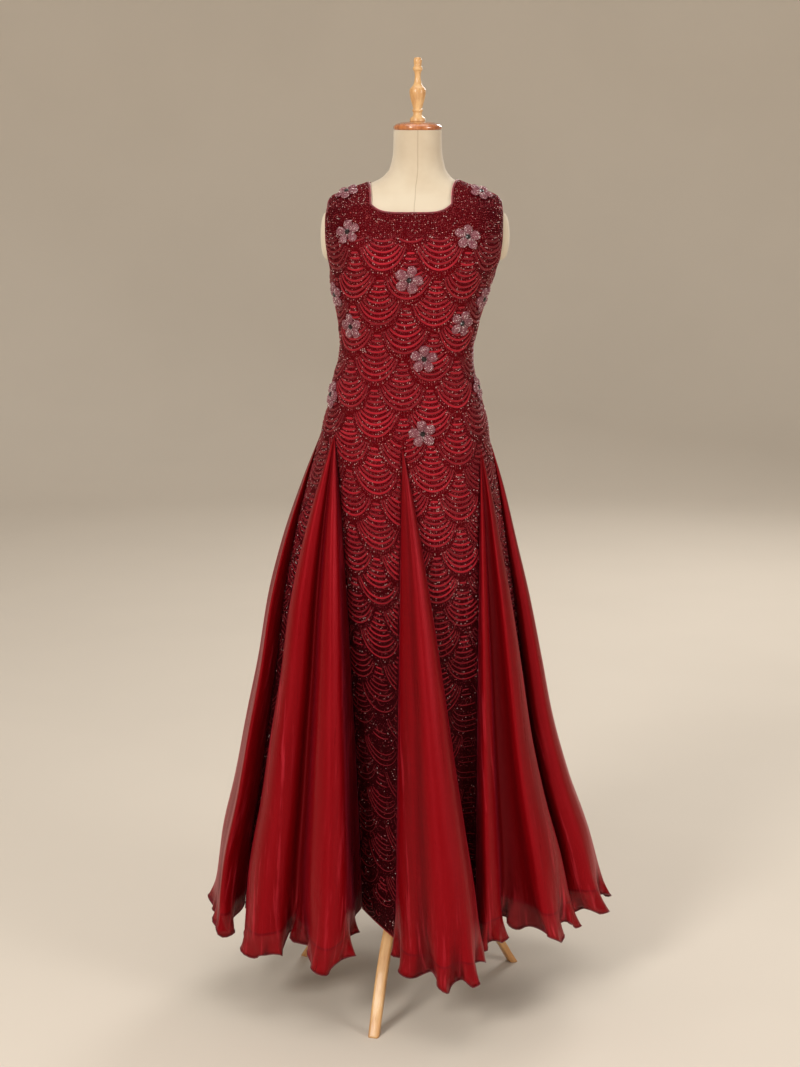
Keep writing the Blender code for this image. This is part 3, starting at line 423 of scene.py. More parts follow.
def form_angle(x, z):
    """How far round from the middle, in degrees, the form is this far across at this height."""
    x = np.asarray(x, float) + 0 * np.asarray(z, float)
    z = np.asarray(z, float) + 0 * x
    turn = np.where(x > smooth(FORM, z, 1), 1.0, -1.0)
    found = halved(0 * x, 0 * x + 90, lambda a: np.abs(form_surface(turn * a, z)[..., 0]) < np.abs(x))
    return turn * found


def ridge_height(x, angle):
    """The height on the shoulder at which the form, at this angle, is this far across."""
    wide = np.abs(x)
    return halved(0 * wide + 1.585, 0 * wide + 1.660,
                  lambda z: np.abs(form_surface(angle, z)[..., 0]) > wide)


def yoke_edge(body, place, count):
    """Angle from the middle, and height, at which a lace piece's straps or neckline begin: a flat
    line rising steeply to its corners, then a straight line to the armhole."""
    left = YOKE.get(body["left"])
    right = YOKE.get(body["right"])
    if left and right:
        part = np.clip(2 * (place - STRAP) / (count - 2 * STRAP) - 1, -1, 1)
        z = left[1] + (left[2] - left[1]) * np.abs(part) ** 5
        x = left[0] + (right[0] - left[0]) * (part + 1) / 2
    else:
        corner = left or right
        part = (count - place) / (count - STRAP) if left else place / (count - STRAP)
        part = np.clip(part, 0, 1)
        z = corner[1] + (corner[2] - corner[1]) * part ** 3
        x = corner[0] * part
    angle = form_angle(x, z)
    for yoke, turn, share in ((left, -1, (STRAP - place) / STRAP),
                              (right, 1, (place - count + STRAP) / STRAP)):
        if yoke is None:
            continue
        corner = form_angle(yoke[0], yoke[2])
        arm = form_angle(turn * ARM_X, yoke[3])
        angle = np.where(share > 0, corner + (arm - corner) * share, angle)
        z = np.where(share > 0, yoke[2] + (yoke[3] - yoke[2]) * share, z)
    return angle, z


def lace_columns(body):
    """A lace piece's columns, two to each of the solid's: place, hip angle, yoke angle, yoke height."""
    marks = [HEM[body["strips"][0]][2]]
    for i in body["strips"]:
        marks.extend(np.linspace(HEM[i][2], HEM[i][3], HEM[i][4] + 1)[1:])
    count = len(marks) - 1
    place = np.arange(0, count + 0.01, 0.5)
    hip = np.interp(place, np.arange(count + 1), marks)
    found, height = yoke_edge(body, count - place if body["back"] else place, count)
    if body["back"]:
        found = 180 - found
        found = np.where(found > 0, found, found + 360)
    return place, hip, found, height


def column_angle(body, hip, yoke, z):
    """Angles of the lace's columns at these heights: from hip to yoke, inside the armhole's edge."""
    middle = 180.0 if body["back"] else 0.0
    if body["left"] and body["right"]:
        side = np.where(yoke < middle, yoke[0], yoke[-1]) - middle
    else:
        side = (yoke[0] if body["right"] else yoke[-1]) - middle
    edge = smooth(ARMHOLE, z, 2 if body["back"] else 1)
    ease = rising(z, TURN_FROM, TURN_TO - TURN_FROM)
    ease = ease * ease * (3 - 2 * ease)
    turned = middle + (yoke - middle) * edge / np.abs(side)
    return hip + (turned - hip) * ease


def on_cloth(angle, z, out=CLOTH_OUT):
    """Points of the cloth's outer face over the form: the form moved out along its normals."""
    return form_surface(angle, z) + out * form_normal(angle, z)


def spline(points, params, at):
    """A curve through the points, with unequal steps, at these parameters."""
    points = np.asarray(points, float)
    slopes = np.zeros_like(points)
    steps = np.diff(params)[:, None]
    runs = np.diff(points, axis=0) / steps
    slopes[1:-1] = (runs[:-1] * steps[1:] + runs[1:] * steps[:-1]) / (steps[1:] + steps[:-1])
    slopes[0] = 1.5 * runs[0] - 0.5 * slopes[1]
    slopes[-1] = 1.5 * runs[-1] - 0.5 * slopes[-2]
    i = np.clip(np.searchsorted(params, at) - 1, 0, len(params) - 2)
    step = params[i + 1] - params[i]
    s = ((at - params[i]) / step)[:, None]
    return cubic(points[i], points[i + 1], slopes[i], slopes[i + 1], step[:, None], s)


def skirt_surface(piece, share, u):
    """A piece of the skirt on a grid: rows are shares of the way from hip to hem, columns shares of
    the way round. Each point goes from the hip curve to the hem curve, out at SPREAD's rate."""
    _, kind, first, last, waves, hem = piece
    hem = np.array(hem)
    params = run_lengths(hem[:, :2], 0)
    params = params / params[-1]
    found = spline(hem, params, u)
    angles = first + (last - first) * u
    heights = np.interp(angles, APEX[:, 0], APEX[:, 1])
    top = on_cloth(angles, heights, HIP_OUT)
    side = np.clip(found[:, 0] / 0.30, -1, 1)
    share = np.asarray(share, float)[:, None]
    middle = smooth(SPREAD, share, 2)
    outer = np.where(side < 0, smooth(SPREAD, share, 1), smooth(SPREAD, share, 3))
    gained = middle + (outer - middle) * np.abs(side)
    x = top[:, 0] + (found[:, 0] - top[:, 0]) * gained
    y = top[:, 1] + (-found[:, 1] - top[:, 1]) * gained
    z = top[:, 2] + (found[:, 2] - top[:, 2]) * share
    if kind == "godet":
        grow = rising(share, 0.80, 0.20) ** 2
        along = unit(np.stack([np.gradient(x, axis=1), np.gradient(y, axis=1)], axis=-1))
        edge = np.clip(8 * u, 0, 1) * np.clip(8 * (1 - u), 0, 1)
        wave = WAVE * np.sin(math.tau * waves * u) * edge * grow
        x = x + wave * along[..., 1]
        y = y - wave * along[..., 0]
        z = z + WAVE_Z * np.cos(math.tau * waves * u + 0.8) * edge * grow
    return np.stack([x, y, z], axis=-1)


def grid_normals(points):
    """Unit normals of a grid whose rows run down and whose columns run to the wearer's left."""
    return unit(np.cross(np.gradient(points, axis=1), -np.gradient(points, axis=0)))


def run_lengths(points, axis):
    """How far along the grid's rows or columns each point is, in metres."""
    steps = np.linalg.norm(np.diff(points, axis=axis), axis=-1)
    start = 0 * np.take(steps, [0], axis=axis)
    return np.concatenate([start, np.cumsum(steps, axis=axis)], axis=axis)


def patch(points, middle, across, down):
    """A grid of cloth with its pattern coordinates: across is measured along each row from the
    middle column, and down is one length per row, measured along the middle column."""
    along = run_lengths(points, 1)
    along = along - along[:, middle:middle + 1] + across
    fall = run_lengths(points, 0)[:, middle] + down
    return {"points": points, "normals": grid_normals(points), "across": along, "down": fall}


def lace_patches(name):
    """The grids of one lace piece: body, strips between godets, and straps over the shoulders."""
    body = LACE[name]
    place, hip, yoke, height = lace_columns(body)
    rise = np.linspace(1, 0, 12)[:-1, None]
    upper = BODY_TOP + (height - BODY_TOP) * rise
    level = np.linspace(BODY_TOP, BODY_BOTTOM, 62)[:, None] + 0 * height
    z = np.concatenate([upper, level])
    middle = int(round(2 * body["middle"]))
    angle = column_angle(body, hip, yoke, z)
    angle[:11] += (yoke - angle[:11]) * rise ** 3
    torso = patch(on_cloth(angle, z), middle, 0.0, 0.0)
    made = [torso]
    start = 0
    for i in body["strips"]:
        columns = 2 * HEM[i][4]
        use = slice(start, start + columns + 1)
        heights = np.interp(hip[use], APEX[:, 0], APEX[:, 1])
        drop = np.linspace(0, 1, 6)[1:-1, None]
        between = BODY_BOTTOM + (heights - BODY_BOTTOM) * drop
        below = skirt_surface(HEM[i], np.linspace(0, 1, 92), np.linspace(0, 1, columns + 1))
        fine = np.linspace(0, columns, 2 * columns + 1)
        points = np.concatenate([torso["points"][-1:, use], on_cloth(hip[use] + 0 * between, between),
                                 below])
        left = np.floor(fine).astype(int).clip(0, columns - 1)
        part = (fine - left)[None, :, None]
        points = points[:, left] * (1 - part) + points[:, left + 1] * part
        across = np.interp(columns / 2, np.arange(columns + 1), torso["across"][-1, use])
        made.append(patch(points, columns, across, torso["down"][-1]))
        start += columns
    for key, first in ((body["left"], not body["back"]), (body["right"], body["back"])):
        if key is None:
            continue
        edge = YOKE[key]
        turn = 1 if edge[0] > 0 else -1
        use = slice(0, 2 * STRAP + 1) if first else slice(len(place) - 2 * STRAP - 1, len(place))
        share = np.linspace(1, 0, 15)[:, None]
        high = yoke[use]
        begin = form_surface(high, height[use])[..., 0]
        reach = np.clip(np.abs(begin - edge[0]) / (ARM_X - abs(edge[0])), 0, 1)
        x = begin + (edge[4] + (edge[5] - edge[4]) * reach - begin) * share
        ridge = (90.0 if turn > 0 else 270.0) if body["back"] else 90.0 * turn
        angle = high + (ridge - high) * share ** 0.85
        points = on_cloth(angle, ridge_height(x, angle))
        inner = 2 * STRAP if first else 0
        strap = patch(points, inner, torso["across"][0, use][inner], 0.0)
        strap["down"] = strap["down"] - strap["down"][-1]
        made.append(strap)
    return made


def at_pattern(patches, across, down):
    """Where pattern coordinates fall on a lace piece: points, normals and which were found. Each
    patch is searched by row and then by column, and the four nearest grid points are blended."""
    point = np.zeros(across.shape + (3,))
    normal = np.zeros(across.shape + (3,))
    found = np.zeros(across.shape, bool)
    for cloth in patches:
        rows = cloth["down"]
        todo = np.nonzero(~found & (down >= rows[0]) & (down <= rows[-1]))[0]
        for part in np.array_split(todo, max(1, len(todo) // 20000)):
            if len(part) == 0:
                continue
            row = np.interp(down[part], rows, np.arange(len(rows)))
            top = np.clip(row.astype(int), 0, len(rows) - 2)
            f = (row - top)[:, None]
            line = cloth["across"][top] * (1 - f) + cloth["across"][top + 1] * f
            want = across[part][:, None]
            inside = (line[:, 0] <= want[:, 0]) & (line[:, -1] >= want[:, 0])
            left = np.clip((line < want).sum(axis=1) - 1, 0, line.shape[1] - 2)
            k = np.arange(len(part))
            g = (want[:, 0] - line[k, left]) / (line[k, left + 1] - line[k, left] + 1e-12)
            g = np.clip(g, 0, 1)[:, None]
            for key, out in (("points", point), ("normals", normal)):
                p = cloth[key]
                upper = p[top, left] * (1 - g) + p[top, left + 1] * g
                lower = p[top + 1, left] * (1 - g) + p[top + 1, left + 1] * g
                value = upper * (1 - f) + lower * f
                out[part[inside]] = value[inside]
            found[part[inside]] = True
    return point, unit(normal), found


def grid_faces(rows, columns, closed=False):
    """Four-sided faces of a grid of rows by columns, whose last column joins the first if closed."""
    r = np.arange(rows - 1)[:, None]
    c = np.arange(columns if closed else columns - 1)[None, :]
    d = (c + 1) % columns
    faces = np.stack([r * columns + c, (r + 1) * columns + c, (r + 1) * columns + d,
                      r * columns + d], axis=-1)
    return faces.reshape(-1, 4)


class Pile:
    """Points, faces, pattern coordinates and finishes gathered for one mesh."""

    def __init__(self):
        self.points = []
        self.uv = []
        self.faces = []
        self.finish = []
        self.tone = []
        self.count = 0

    def add(self, points, faces, uv=None, finish=0, tone=0.0):
        points = np.asarray(points, float).reshape(-1, 3)
        uv = np.zeros((len(points), 2)) if uv is None else np.asarray(uv, float).reshape(-1, 2)
        self.points.append(points)
        self.uv.append(uv)
        self.tone.append(np.broadcast_to(np.asarray(tone, float), len(points)))
        faces = np.asarray(faces, np.int64)
        self.faces.append(faces + self.count)
        self.finish.append(np.full(len(faces), finish))
        self.count += len(points)

    def grid(self, points, uv=None, finish=0, closed=False, tone=0.0):
        rows, columns = points.shape[:2]
        self.add(points, grid_faces(rows, columns, closed=closed), uv, finish, tone)


def linked(name, data):
    """A new object that holds this mesh, light or camera, in the scene."""
    made = bpy.data.objects.new(name, data)
    bpy.context.scene.collection.objects.link(made)
    return made


def build(name, pile, materials, weld=0.0, faceted=()):
    """The pile as one mesh object with its UV map, its tone attribute and its materials. Points
    closer than weld become one, and a four-sided face that this pinches becomes a triangle. Faces
    of the finishes in faceted stay flat."""
    points = np.concatenate(pile.points)
    uv = np.concatenate(pile.uv)
    tone = np.concatenate(pile.tone)
    index = np.arange(len(points))
    first = index
    if weld:
        keys = np.round(points / weld).astype(np.int64)
        _, first, index = np.unique(keys, axis=0, return_index=True, return_inverse=True)
        index = index.reshape(-1)
    sizes = []
    corners = []
    finish = []
    for faces, kind in zip(pile.faces, pile.finish):
        same = index[faces] == index[np.roll(faces, -1, axis=1)]
        pinched = same.sum(axis=1)
        whole = pinched == 0
        parts = [(faces[whole], kind[whole])]
        if faces.shape[1] == 4:
            for k in range(4):
                rows = (pinched == 1) & same[:, k]
                parts.append((np.delete(faces[rows], k, axis=1), kind[rows]))
        for block, kinds in parts:
            sizes.append(np.full(len(block), block.shape[1]))
            corners.append(block.reshape(-1))
            finish.append(kinds)
    sizes = np.concatenate(sizes)
    corners = np.concatenate(corners)
    finish = np.concatenate(finish)
    start = np.concatenate([[0], np.cumsum(sizes)[:-1]])
    corner_uv = uv[corners]
    points = points[first]
    tone = tone[first]
    corners = index[corners]
    used = np.zeros(len(points), bool)
    used[corners] = True
    order = np.cumsum(used) - 1
    points = points[used] + SHIFT
    corners = order[corners]
    mesh = bpy.data.meshes.new(name)
    mesh.vertices.add(len(points))
    mesh.vertices.foreach_set("co", points.astype(np.float32).ravel())
    mesh.loops.add(len(corners))
    mesh.loops.foreach_set("vertex_index", corners.astype(np.int32))
    mesh.polygons.add(len(sizes))
    mesh.polygons.foreach_set("loop_start", start.astype(np.int32))
    mesh.polygons.foreach_set("material_index", finish.astype(np.int32))
    mesh.polygons.foreach_set("use_smooth", ~np.isin(finish, faceted))
    layer = mesh.uv_layers.new(name="pattern")
    layer.uv.foreach_set("vector", corner_uv.astype(np.float32).ravel())
    held = mesh.attributes.new("tone", "FLOAT", "POINT")
    held.data.foreach_set("value", tone[used].astype(np.float32))
    mesh.update(calc_edges=True)
    for material in materials:
        mesh.materials.append(material)
    return linked(name, mesh)


def dressed(made, nodes=()):
    """The piece rides on the part's one body and stands for its nodes."""
    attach(made, "root")
    if nodes:
        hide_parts(*nodes)
    return made


def surface(name, points, uv, finish, slot, nodes=(), weld=0.0, **settings):
    """One grid of points as a dressed piece with one finish."""
    pile = Pile()
    pile.grid(points, uv, **settings)
    return dressed(build(name, pile, [finish], weld), nodes)


def thicken(made, depth):
    """Give a sheet its thickness, inward from the surface."""
    wall = made.modifiers.new("Wall", "SOLIDIFY")
    wall.thickness = depth
    wall.offset = -1.0
    wall.use_even_offset = False
    wall.use_quality_normals = False


def scallops(across, deep, sizes, seed):
    """Centres of hanging scallops, in staggered columns, that may touch this range across and this
    depth, each moved a little at random: column middle and top."""
    chance = np.random.default_rng(seed)
    first = math.floor(across[0] / sizes.scallop_column) - 1
    last = math.ceil(across[1] / sizes.scallop_column) + 1
    low = math.ceil(deep / sizes.scallop_period) + 1
    i, j = np.meshgrid(np.arange(first, last + 1), np.arange(-2, low + 1), indexing="ij")
    middle = i * sizes.scallop_column + chance.uniform(-0.0012, 0.0012, i.shape)
    start = (j + 0.5 * (i % 2 == 0)) * sizes.scallop_period + 0.012
    return middle.ravel(), (start + chance.uniform(-0.0015, 0.0015, i.shape)).ravel()


# How far below a scallop's top its outline starts, as a share of its depth
HANG = 0.42


def swags(middle, top, shares, sizes, samples):
    """Nested swags in each scallop, like the growth lines of a fish scale. A swag of share t is
    0.45 + 0.55 t as wide as the scallop. Its ends lie HANG t and its middle t of depth below the
    scallop's top, with half an ellipse between. A scallop higher up covers the ones it overlaps,
    so a point is kept only below the outlines of its upper neighbours. Gives across, down and
    kept, each scallop x swag x point, and how full a swag is at each point."""
    half, depth = sizes.scallop_half, sizes.scallop_period
    turn = np.linspace(-1.42, 1.42, samples)[None, None, :]
    t = shares[None, :, None]
    x = half * (0.45 + 0.55 * t) * np.sin(turn)
    fall = depth * t * (HANG + (1 - HANG) * np.cos(turn))
    beside = (np.abs(x) - sizes.scallop_column) / half
    arch = HANG + (1 - HANG) * np.sqrt(np.clip(1 - beside ** 2, 0, 1))
    cover = np.where(np.abs(beside) < 1, depth * arch, -9.0)
    place = middle[:, None, None] + x
    kept = np.broadcast_to(fall > cover - depth / 2 + 0.0035, place.shape)
    full = np.clip(np.cos(0.98 * turn[0, 0]), 0, 1)
    return place, top[:, None, None] + fall, kept, full


def carried(patches, across, down, kept):
    """The swags' points on the cloth, with normals; a point off the cloth isn't kept."""
    point, normal, found = at_pattern(patches, across.ravel(), down.ravel())
    shape = across.shape
    keep = kept & found.reshape(shape)
    return point.reshape(shape + (3,)), normal.reshape(shape + (3,)), keep


def cords(pile, point, normal, keep, width, height, tone):
    """Raised cords: a low arch of four points carried along each run of kept points, square to the
    run and standing on the cloth, and narrowed to nothing at the run's ends."""
    shape = keep.shape
    point = point.reshape(-1, shape[-1], 3)
    normal = normal.reshape(-1, shape[-1], 3)
    keep = keep.reshape(-1, shape[-1])
    along = np.gradient(point, axis=1)
    jump = np.linalg.norm(np.diff(point, axis=1), axis=-1)
    usual = np.median(jump[keep[:, 1:] & keep[:, :-1]]) if keep.any() else 1.0
    joined = keep[:, 1:] & keep[:, :-1] & (jump < 3.0 * usual)
    inner = np.zeros(keep.shape)
    inner[:, 1:-1] = joined[:, 1:] & joined[:, :-1]
    size = 0.25 + 0.75 * inner
    side = unit(np.cross(along, normal))
    arch = ((-0.5, -0.10), (-0.30, 0.85), (0.30, 0.85), (0.5, -0.10))
    width = size * width
    line = np.stack([point + side * (a * width)[..., None]
                     + normal * (b * height * size)[..., None] for a, b in arch], axis=2)
    n, m = keep.shape
    base = (np.arange(n)[:, None] * m + np.arange(m - 1)[None, :])[joined] * 4
    k = np.arange(4)
    faces = np.stack([base[:, None] + k, base[:, None] + (k + 1) % 4, base[:, None] + 4 + (k + 1) % 4,
                      base[:, None] + 4 + k], axis=-1).reshape(-1, 4)
    length = np.cumsum(np.concatenate([np.zeros((n, 1)), np.where(joined, jump, 0)], axis=1), axis=1)
    uv = np.stack([np.broadcast_to(np.array([0.0, 0.3, 0.7, 1.0]), (n, m, 4)),
                   np.broadcast_to(length[..., None], (n, m, 4))], axis=-1)
    tones = np.broadcast_to(np.asarray(tone, float).reshape(n, -1, 1), (n, m, 4)).reshape(-1)
    pile.add(line, faces, uv, tone=tones)


BEAD = np.array([(1, 0, 0.05), (0, 1, 0.05), (-1, 0, 0.05), (0, -1, 0.05), (0, 0, 1.15)])
BEAD_FACES = np.array([(0, 1, 4), (1, 2, 4), (2, 3, 4), (3, 0, 4), (2, 1, 0), (3, 2, 0)])


def beads(pile, point, normal, radius, seed, finish=0):
    """Seed beads: drops of this radius with four sides and a flat base, turned at random about the
    cloth's normal. One in ten is a larger, brighter one."""
    chance = np.random.default_rng(seed)
    count = len(point)
    turn = chance.uniform(0, math.tau, count)[:, None]
    helper = np.where(np.abs(normal[:, 2:3]) < 0.9, np.array([[0, 0, 1.0]]), np.array([[1.0, 0, 0]]))
    first = unit(np.cross(helper, normal))
    second = np.cross(normal, first)
    a = first * np.cos(turn) + second * np.sin(turn)
    b = np.cross(normal, a)
    size = radius * chance.uniform(0.82, 1.12, count)[:, None, None]
    tones = chance.uniform(0, 1, count)
    size = size * (1 + 0.25 * (tones > 0.9))[:, None, None]
    at = (a[:, None] * BEAD[None, :, 0:1] + b[:, None] * BEAD[None, :, 1:2]
          + normal[:, None] * BEAD[None, :, 2:3]) * size + point[:, None]
    faces = (np.arange(count)[:, None, None] * len(BEAD) + BEAD_FACES[None]).reshape(-1, 3)
    pile.add(at, faces, None, finish, np.repeat(tones, len(BEAD)))


def tube(pile, path, radius, sides=6, closed=False, finish=0, up=(0.31, 0.17, 0.93), tone=0.0):
    """A round cord of this radius carried along the path, its section square to the path."""
    if closed:
        along = np.roll(path, -1, axis=0) - np.roll(path, 1, axis=0)
    else:
        along = np.gradient(path, axis=0)
    along = unit(along)
    across = unit(np.cross(along, up))
    other = np.cross(across, along)
    turn = np.arange(sides) * math.tau / sides
    ring = path[:, None] + radius * (across[:, None] * np.cos(turn)[None, :, None]
                                     + other[:, None] * np.sin(turn)[None, :, None])
    length = run_lengths(path, 0)
    uv = np.stack(np.broadcast_arrays(turn[None, :] / math.tau, length[:, None]), axis=-1)
    if closed:
        ring = np.concatenate([ring, ring[:1]])
        uv = np.concatenate([uv, uv[:1]])
    start = pile.count
    pile.grid(ring, uv, finish, closed=True, tone=tone)
    if not closed:
        last = (len(ring) - 1) * sides
        k = np.arange(1, sides - 1)
        caps = np.concatenate([np.stack([0 * k, k, k + 1], axis=1),
                               np.stack([last + 0 * k, last + k + 1, last + k], axis=1)])
        pile.faces.append(caps + start)
        pile.finish.append(np.full(len(caps), finish))


def turned(profile, centre_x, steps):
    """A turned shape: the outline of radii and heights, smoothed between its points, swept round a
    vertical axis. Its pattern coordinates are the way round and the height."""
    profile = np.asarray(profile, float)
    place = np.arange(len(profile))
    at = np.linspace(0, len(profile) - 1, (len(profile) - 1) * FINE + 1)
    params = run_lengths(profile, 0)
    line = spline(profile, params, np.interp(at, place, params))
    flat = np.stack([np.interp(at, place, profile[:, 0]), np.interp(at, place, profile[:, 1])], axis=1)
    line = flat + 0.65 * (line - flat)
    radius = np.maximum(line[:, 0], 0.0)[:, None]
    turn = np.linspace(0, math.tau, steps + 1)[None, :]
    points = np.stack([centre_x + radius * np.cos(turn), radius * np.sin(turn),
                       line[:, 1:] + 0 * turn], axis=-1)
    uv = np.stack([0.02 * turn + 0 * radius, line[:, 1:] + 0 * turn], axis=-1)
    return points, uv


def screen(red, green, blue):
    """A linear colour from 8-bit screen values."""
    value = np.array([red, green, blue]) / 255
    value = np.where(value <= 0.04045, value / 12.92, ((value + 0.055) / 1.055) ** 2.4)
    return tuple(float(v) for v in value) + (1.0,)


def solid(colour):
    """A colour of the panel, fully opaque."""
    return tuple(colour) + (1.0,)


class Wiring:
    """A node tree with short ways to add nodes and join their sockets."""

    def __init__(self, tree, made=None):
        self.tree = tree
        self.made = made
        self.shader = tree.nodes.get("Principled BSDF")

    def node(self, kind, settings=None, values=(), **inputs):
        made = self.tree.nodes.new(kind)
        for key, value in (settings or {}).items():
            setattr(made, key, value)
        for key, value in enumerate(values):
            self.give(made, key, value)
        for key, value in inputs.items():
            self.give(made, key.replace("_", " "), value)
        return made

    def give(self, node, key, value):
        if isinstance(value, bpy.types.NodeSocket):
            self.tree.links.new(value, node.inputs[key])
        else:
            node.inputs[key].default_value = value

    def maths(self, operation, *values):
        return self.node("ShaderNodeMath", {"operation": operation}, values).outputs[0]

    def times(self, first, second):
        return self.maths("MULTIPLY", first, second)

    def total(self, *pairs):
        """The sum of these values, each times its weight."""
        found = self.times(*pairs[0])
        for pair in pairs[1:]:
            found = self.maths("ADD", found, self.times(*pair))
        return found

    def ramp(self, value, low, high, out_low=0.0, out_high=1.0):
        settings = {"interpolation_type": "SMOOTHSTEP"}
        return self.node("ShaderNodeMapRange", settings, (value, low, high, out_low, out_high)).outputs[0]

    def mix(self, share, first, second):
        made = self.node("ShaderNodeMix", {"data_type": "RGBA"}, (share,))
        self.give(made, 6, first)
        self.give(made, 7, second)
        return made.outputs[2]

    def noise(self, vector, scale, detail=3.0, rough=0.55):
        """Noise of this scale, which may differ along the three axes."""
        if isinstance(scale, tuple):
            vector = self.node("ShaderNodeVectorMath", {"operation": "MULTIPLY"}, (vector, scale)).outputs[0]
            scale = 1.0
        made = self.node("ShaderNodeTexNoise", Vector=vector, Scale=scale, Detail=detail, Roughness=rough)
        return made.outputs["Fac"]

    def steps(self, value, marks):
        """Colours by value, blended between their positions."""
        made = self.node("ShaderNodeValToRGB", Fac=value)
        elements = made.color_ramp.elements
        for element, (position, shade) in zip(elements, (marks[0], marks[-1])):
            element.position = position
            element.color = shade
        for position, shade in marks[1:-1]:
            elements.new(position).color = shade
        return made.outputs[0]

    def group(self, name, **inputs):
        """The outputs of one use of a shared node group, with this use's own values."""
        return self.node("ShaderNodeGroup", {"node_tree": effect(name)}, **inputs).outputs

    def object_place(self):
        return self.node("ShaderNodeTexCoord").outputs["Object"]

    def attribute(self, name):
        return self.node("ShaderNodeAttribute", {"attribute_name": name}).outputs["Fac"]

    def pattern(self):
        """The piece's own pattern coordinates, in metres, as a vector and its two parts."""
        vector = self.node("ShaderNodeUVMap", {"uv_map": "pattern"}).outputs[0]
        parts = self.node("ShaderNodeSeparateXYZ", Vector=vector).outputs
        return vector, parts[0], parts[1]

    def finish(self, colour, rough, height=None, strength=0.0, distance=0.0):
        """Join colour, roughness and a bump to the shader, and give the material."""
        self.give(self.shader, "Base Color", colour)
        self.give(self.shader, "Roughness", rough)
        if height is not None:
            bump = self.node("ShaderNodeBump", Strength=strength, Distance=distance, Height=height)
            self.give(self.shader, "Normal", bump.outputs[0])
        return self.made


def material(name, **constants):
    """A new material's wiring, with the unchanging values set on its Principled shader."""
    made = bpy.data.materials.new(name)
    made.use_nodes = True
    wires = Wiring(made.node_tree, made)
    for key, value in constants.items():
        wires.give(wires.shader, key.replace("_", " "), value)
    return wires


def threads_inside(w, vector, threads):
    """Crossed threads: the two thread sets' half-round tops, and slubs that thicken some of them."""
    parts = w.node("ShaderNodeSeparateXYZ", Vector=vector).outputs
    turn = w.times(threads, math.pi)
    warp, weft = [w.maths("ABSOLUTE", w.maths("SINE", w.times(part, turn))) for part in parts[:2]]
    slub = w.noise(vector, (260.0, 9.0, 1.0), 4.0)
    cross = w.noise(vector, (7.0, 240.0, 1.0), 3.0)
    return w.maths("MAXIMUM", warp, w.times(weft, 0.9)), w.total((slub, 0.7), (cross, 0.3))


def grain_inside(w, vector, light, dark, wear):
    """Wood grain: long noise streaks with finer pores along them, and slow bands of dark and light."""
    bands = w.noise(vector, (34.0, 34.0, 5.0), 4.0, 0.6)
    pores = w.noise(vector, (700.0, 700.0, 26.0), 2.0)
    fine = w.noise(vector, (210.0, 210.0, 11.0), 4.0)
    colour = w.mix(w.ramp(w.total((bands, 0.7), (fine, 0.3)), 0.36, 0.66), dark, light)
    pore = w.ramp(pores, 0.30, 0.44)
    colour = w.mix(w.ramp(pore, 0.0, 1.0, 0.45, 0.0), colour, dark)
    rubbed = w.noise(vector, 14.0, 3.0)
    pale = w.mix(0.5, light, (0.9, 0.78, 0.6, 1.0))
    colour = w.mix(w.times(w.ramp(rubbed, 0.52, 0.72), wear), colour, pale)
    return colour, w.total((pore, 0.6), (fine, 0.4)), w.ramp(rubbed, 0.4, 0.7)


def beads_inside(w, vector, density):
    """Seed beads sewn close together: round cells, each with its own value, and the gaps between."""
    cells = w.node("ShaderNodeTexVoronoi", {"feature": "F1"}, Vector=vector, Scale=density,
                   Randomness=0.75).outputs
    pick = w.node("ShaderNodeSeparateColor", Color=cells["Color"]).outputs[0]
    return w.ramp(cells["Distance"], 0.42, 0.18), pick


# Shared effects: what is inside, then inputs with their kinds and values, then outputs
EFFECTS = {
    "Crossed threads": (threads_inside, (("Vector", "Vector", None), ("Threads", "Float", 900.0)),
                        (("Height", "Float"), ("Slub", "Float"))),
    "Wood grain": (grain_inside, (("Vector", "Vector", None), ("Light", "Color", (0.6, 0.35, 0.15, 1.0)),
                                  ("Dark", "Color", (0.3, 0.14, 0.05, 1.0)), ("Wear", "Float", 0.3)),
                   (("Color", "Color"), ("Height", "Float"), ("Polish", "Float"))),
    "Sewn seed beads": (beads_inside, (("Vector", "Vector", None), ("Beads per metre", "Float", 420.0)),
                        (("Bead", "Float"), ("Pick", "Float"))),
}


def effect(name):
    """The shared shader node group of this name, made at its first use."""
    tree = bpy.data.node_groups.get(name)
    if tree is None:
        inside, inputs, outputs = EFFECTS[name]
        tree = bpy.data.node_groups.new(name, "ShaderNodeTree")
        for label, kind, value in inputs:
            socket = tree.interface.new_socket(label, in_out="INPUT", socket_type="NodeSocket" + kind)
            if value is not None:
                socket.default_value = value
        for label, kind in outputs:
            tree.interface.new_socket(label, in_out="OUTPUT", socket_type="NodeSocket" + kind)
        given = tree.nodes.new("NodeGroupInput").outputs[:len(inputs)]
        out = tree.nodes.new("NodeGroupOutput").inputs
        for socket, value in zip(out, inside(Wiring(tree), *given)):
            tree.links.new(value, socket)
    return tree


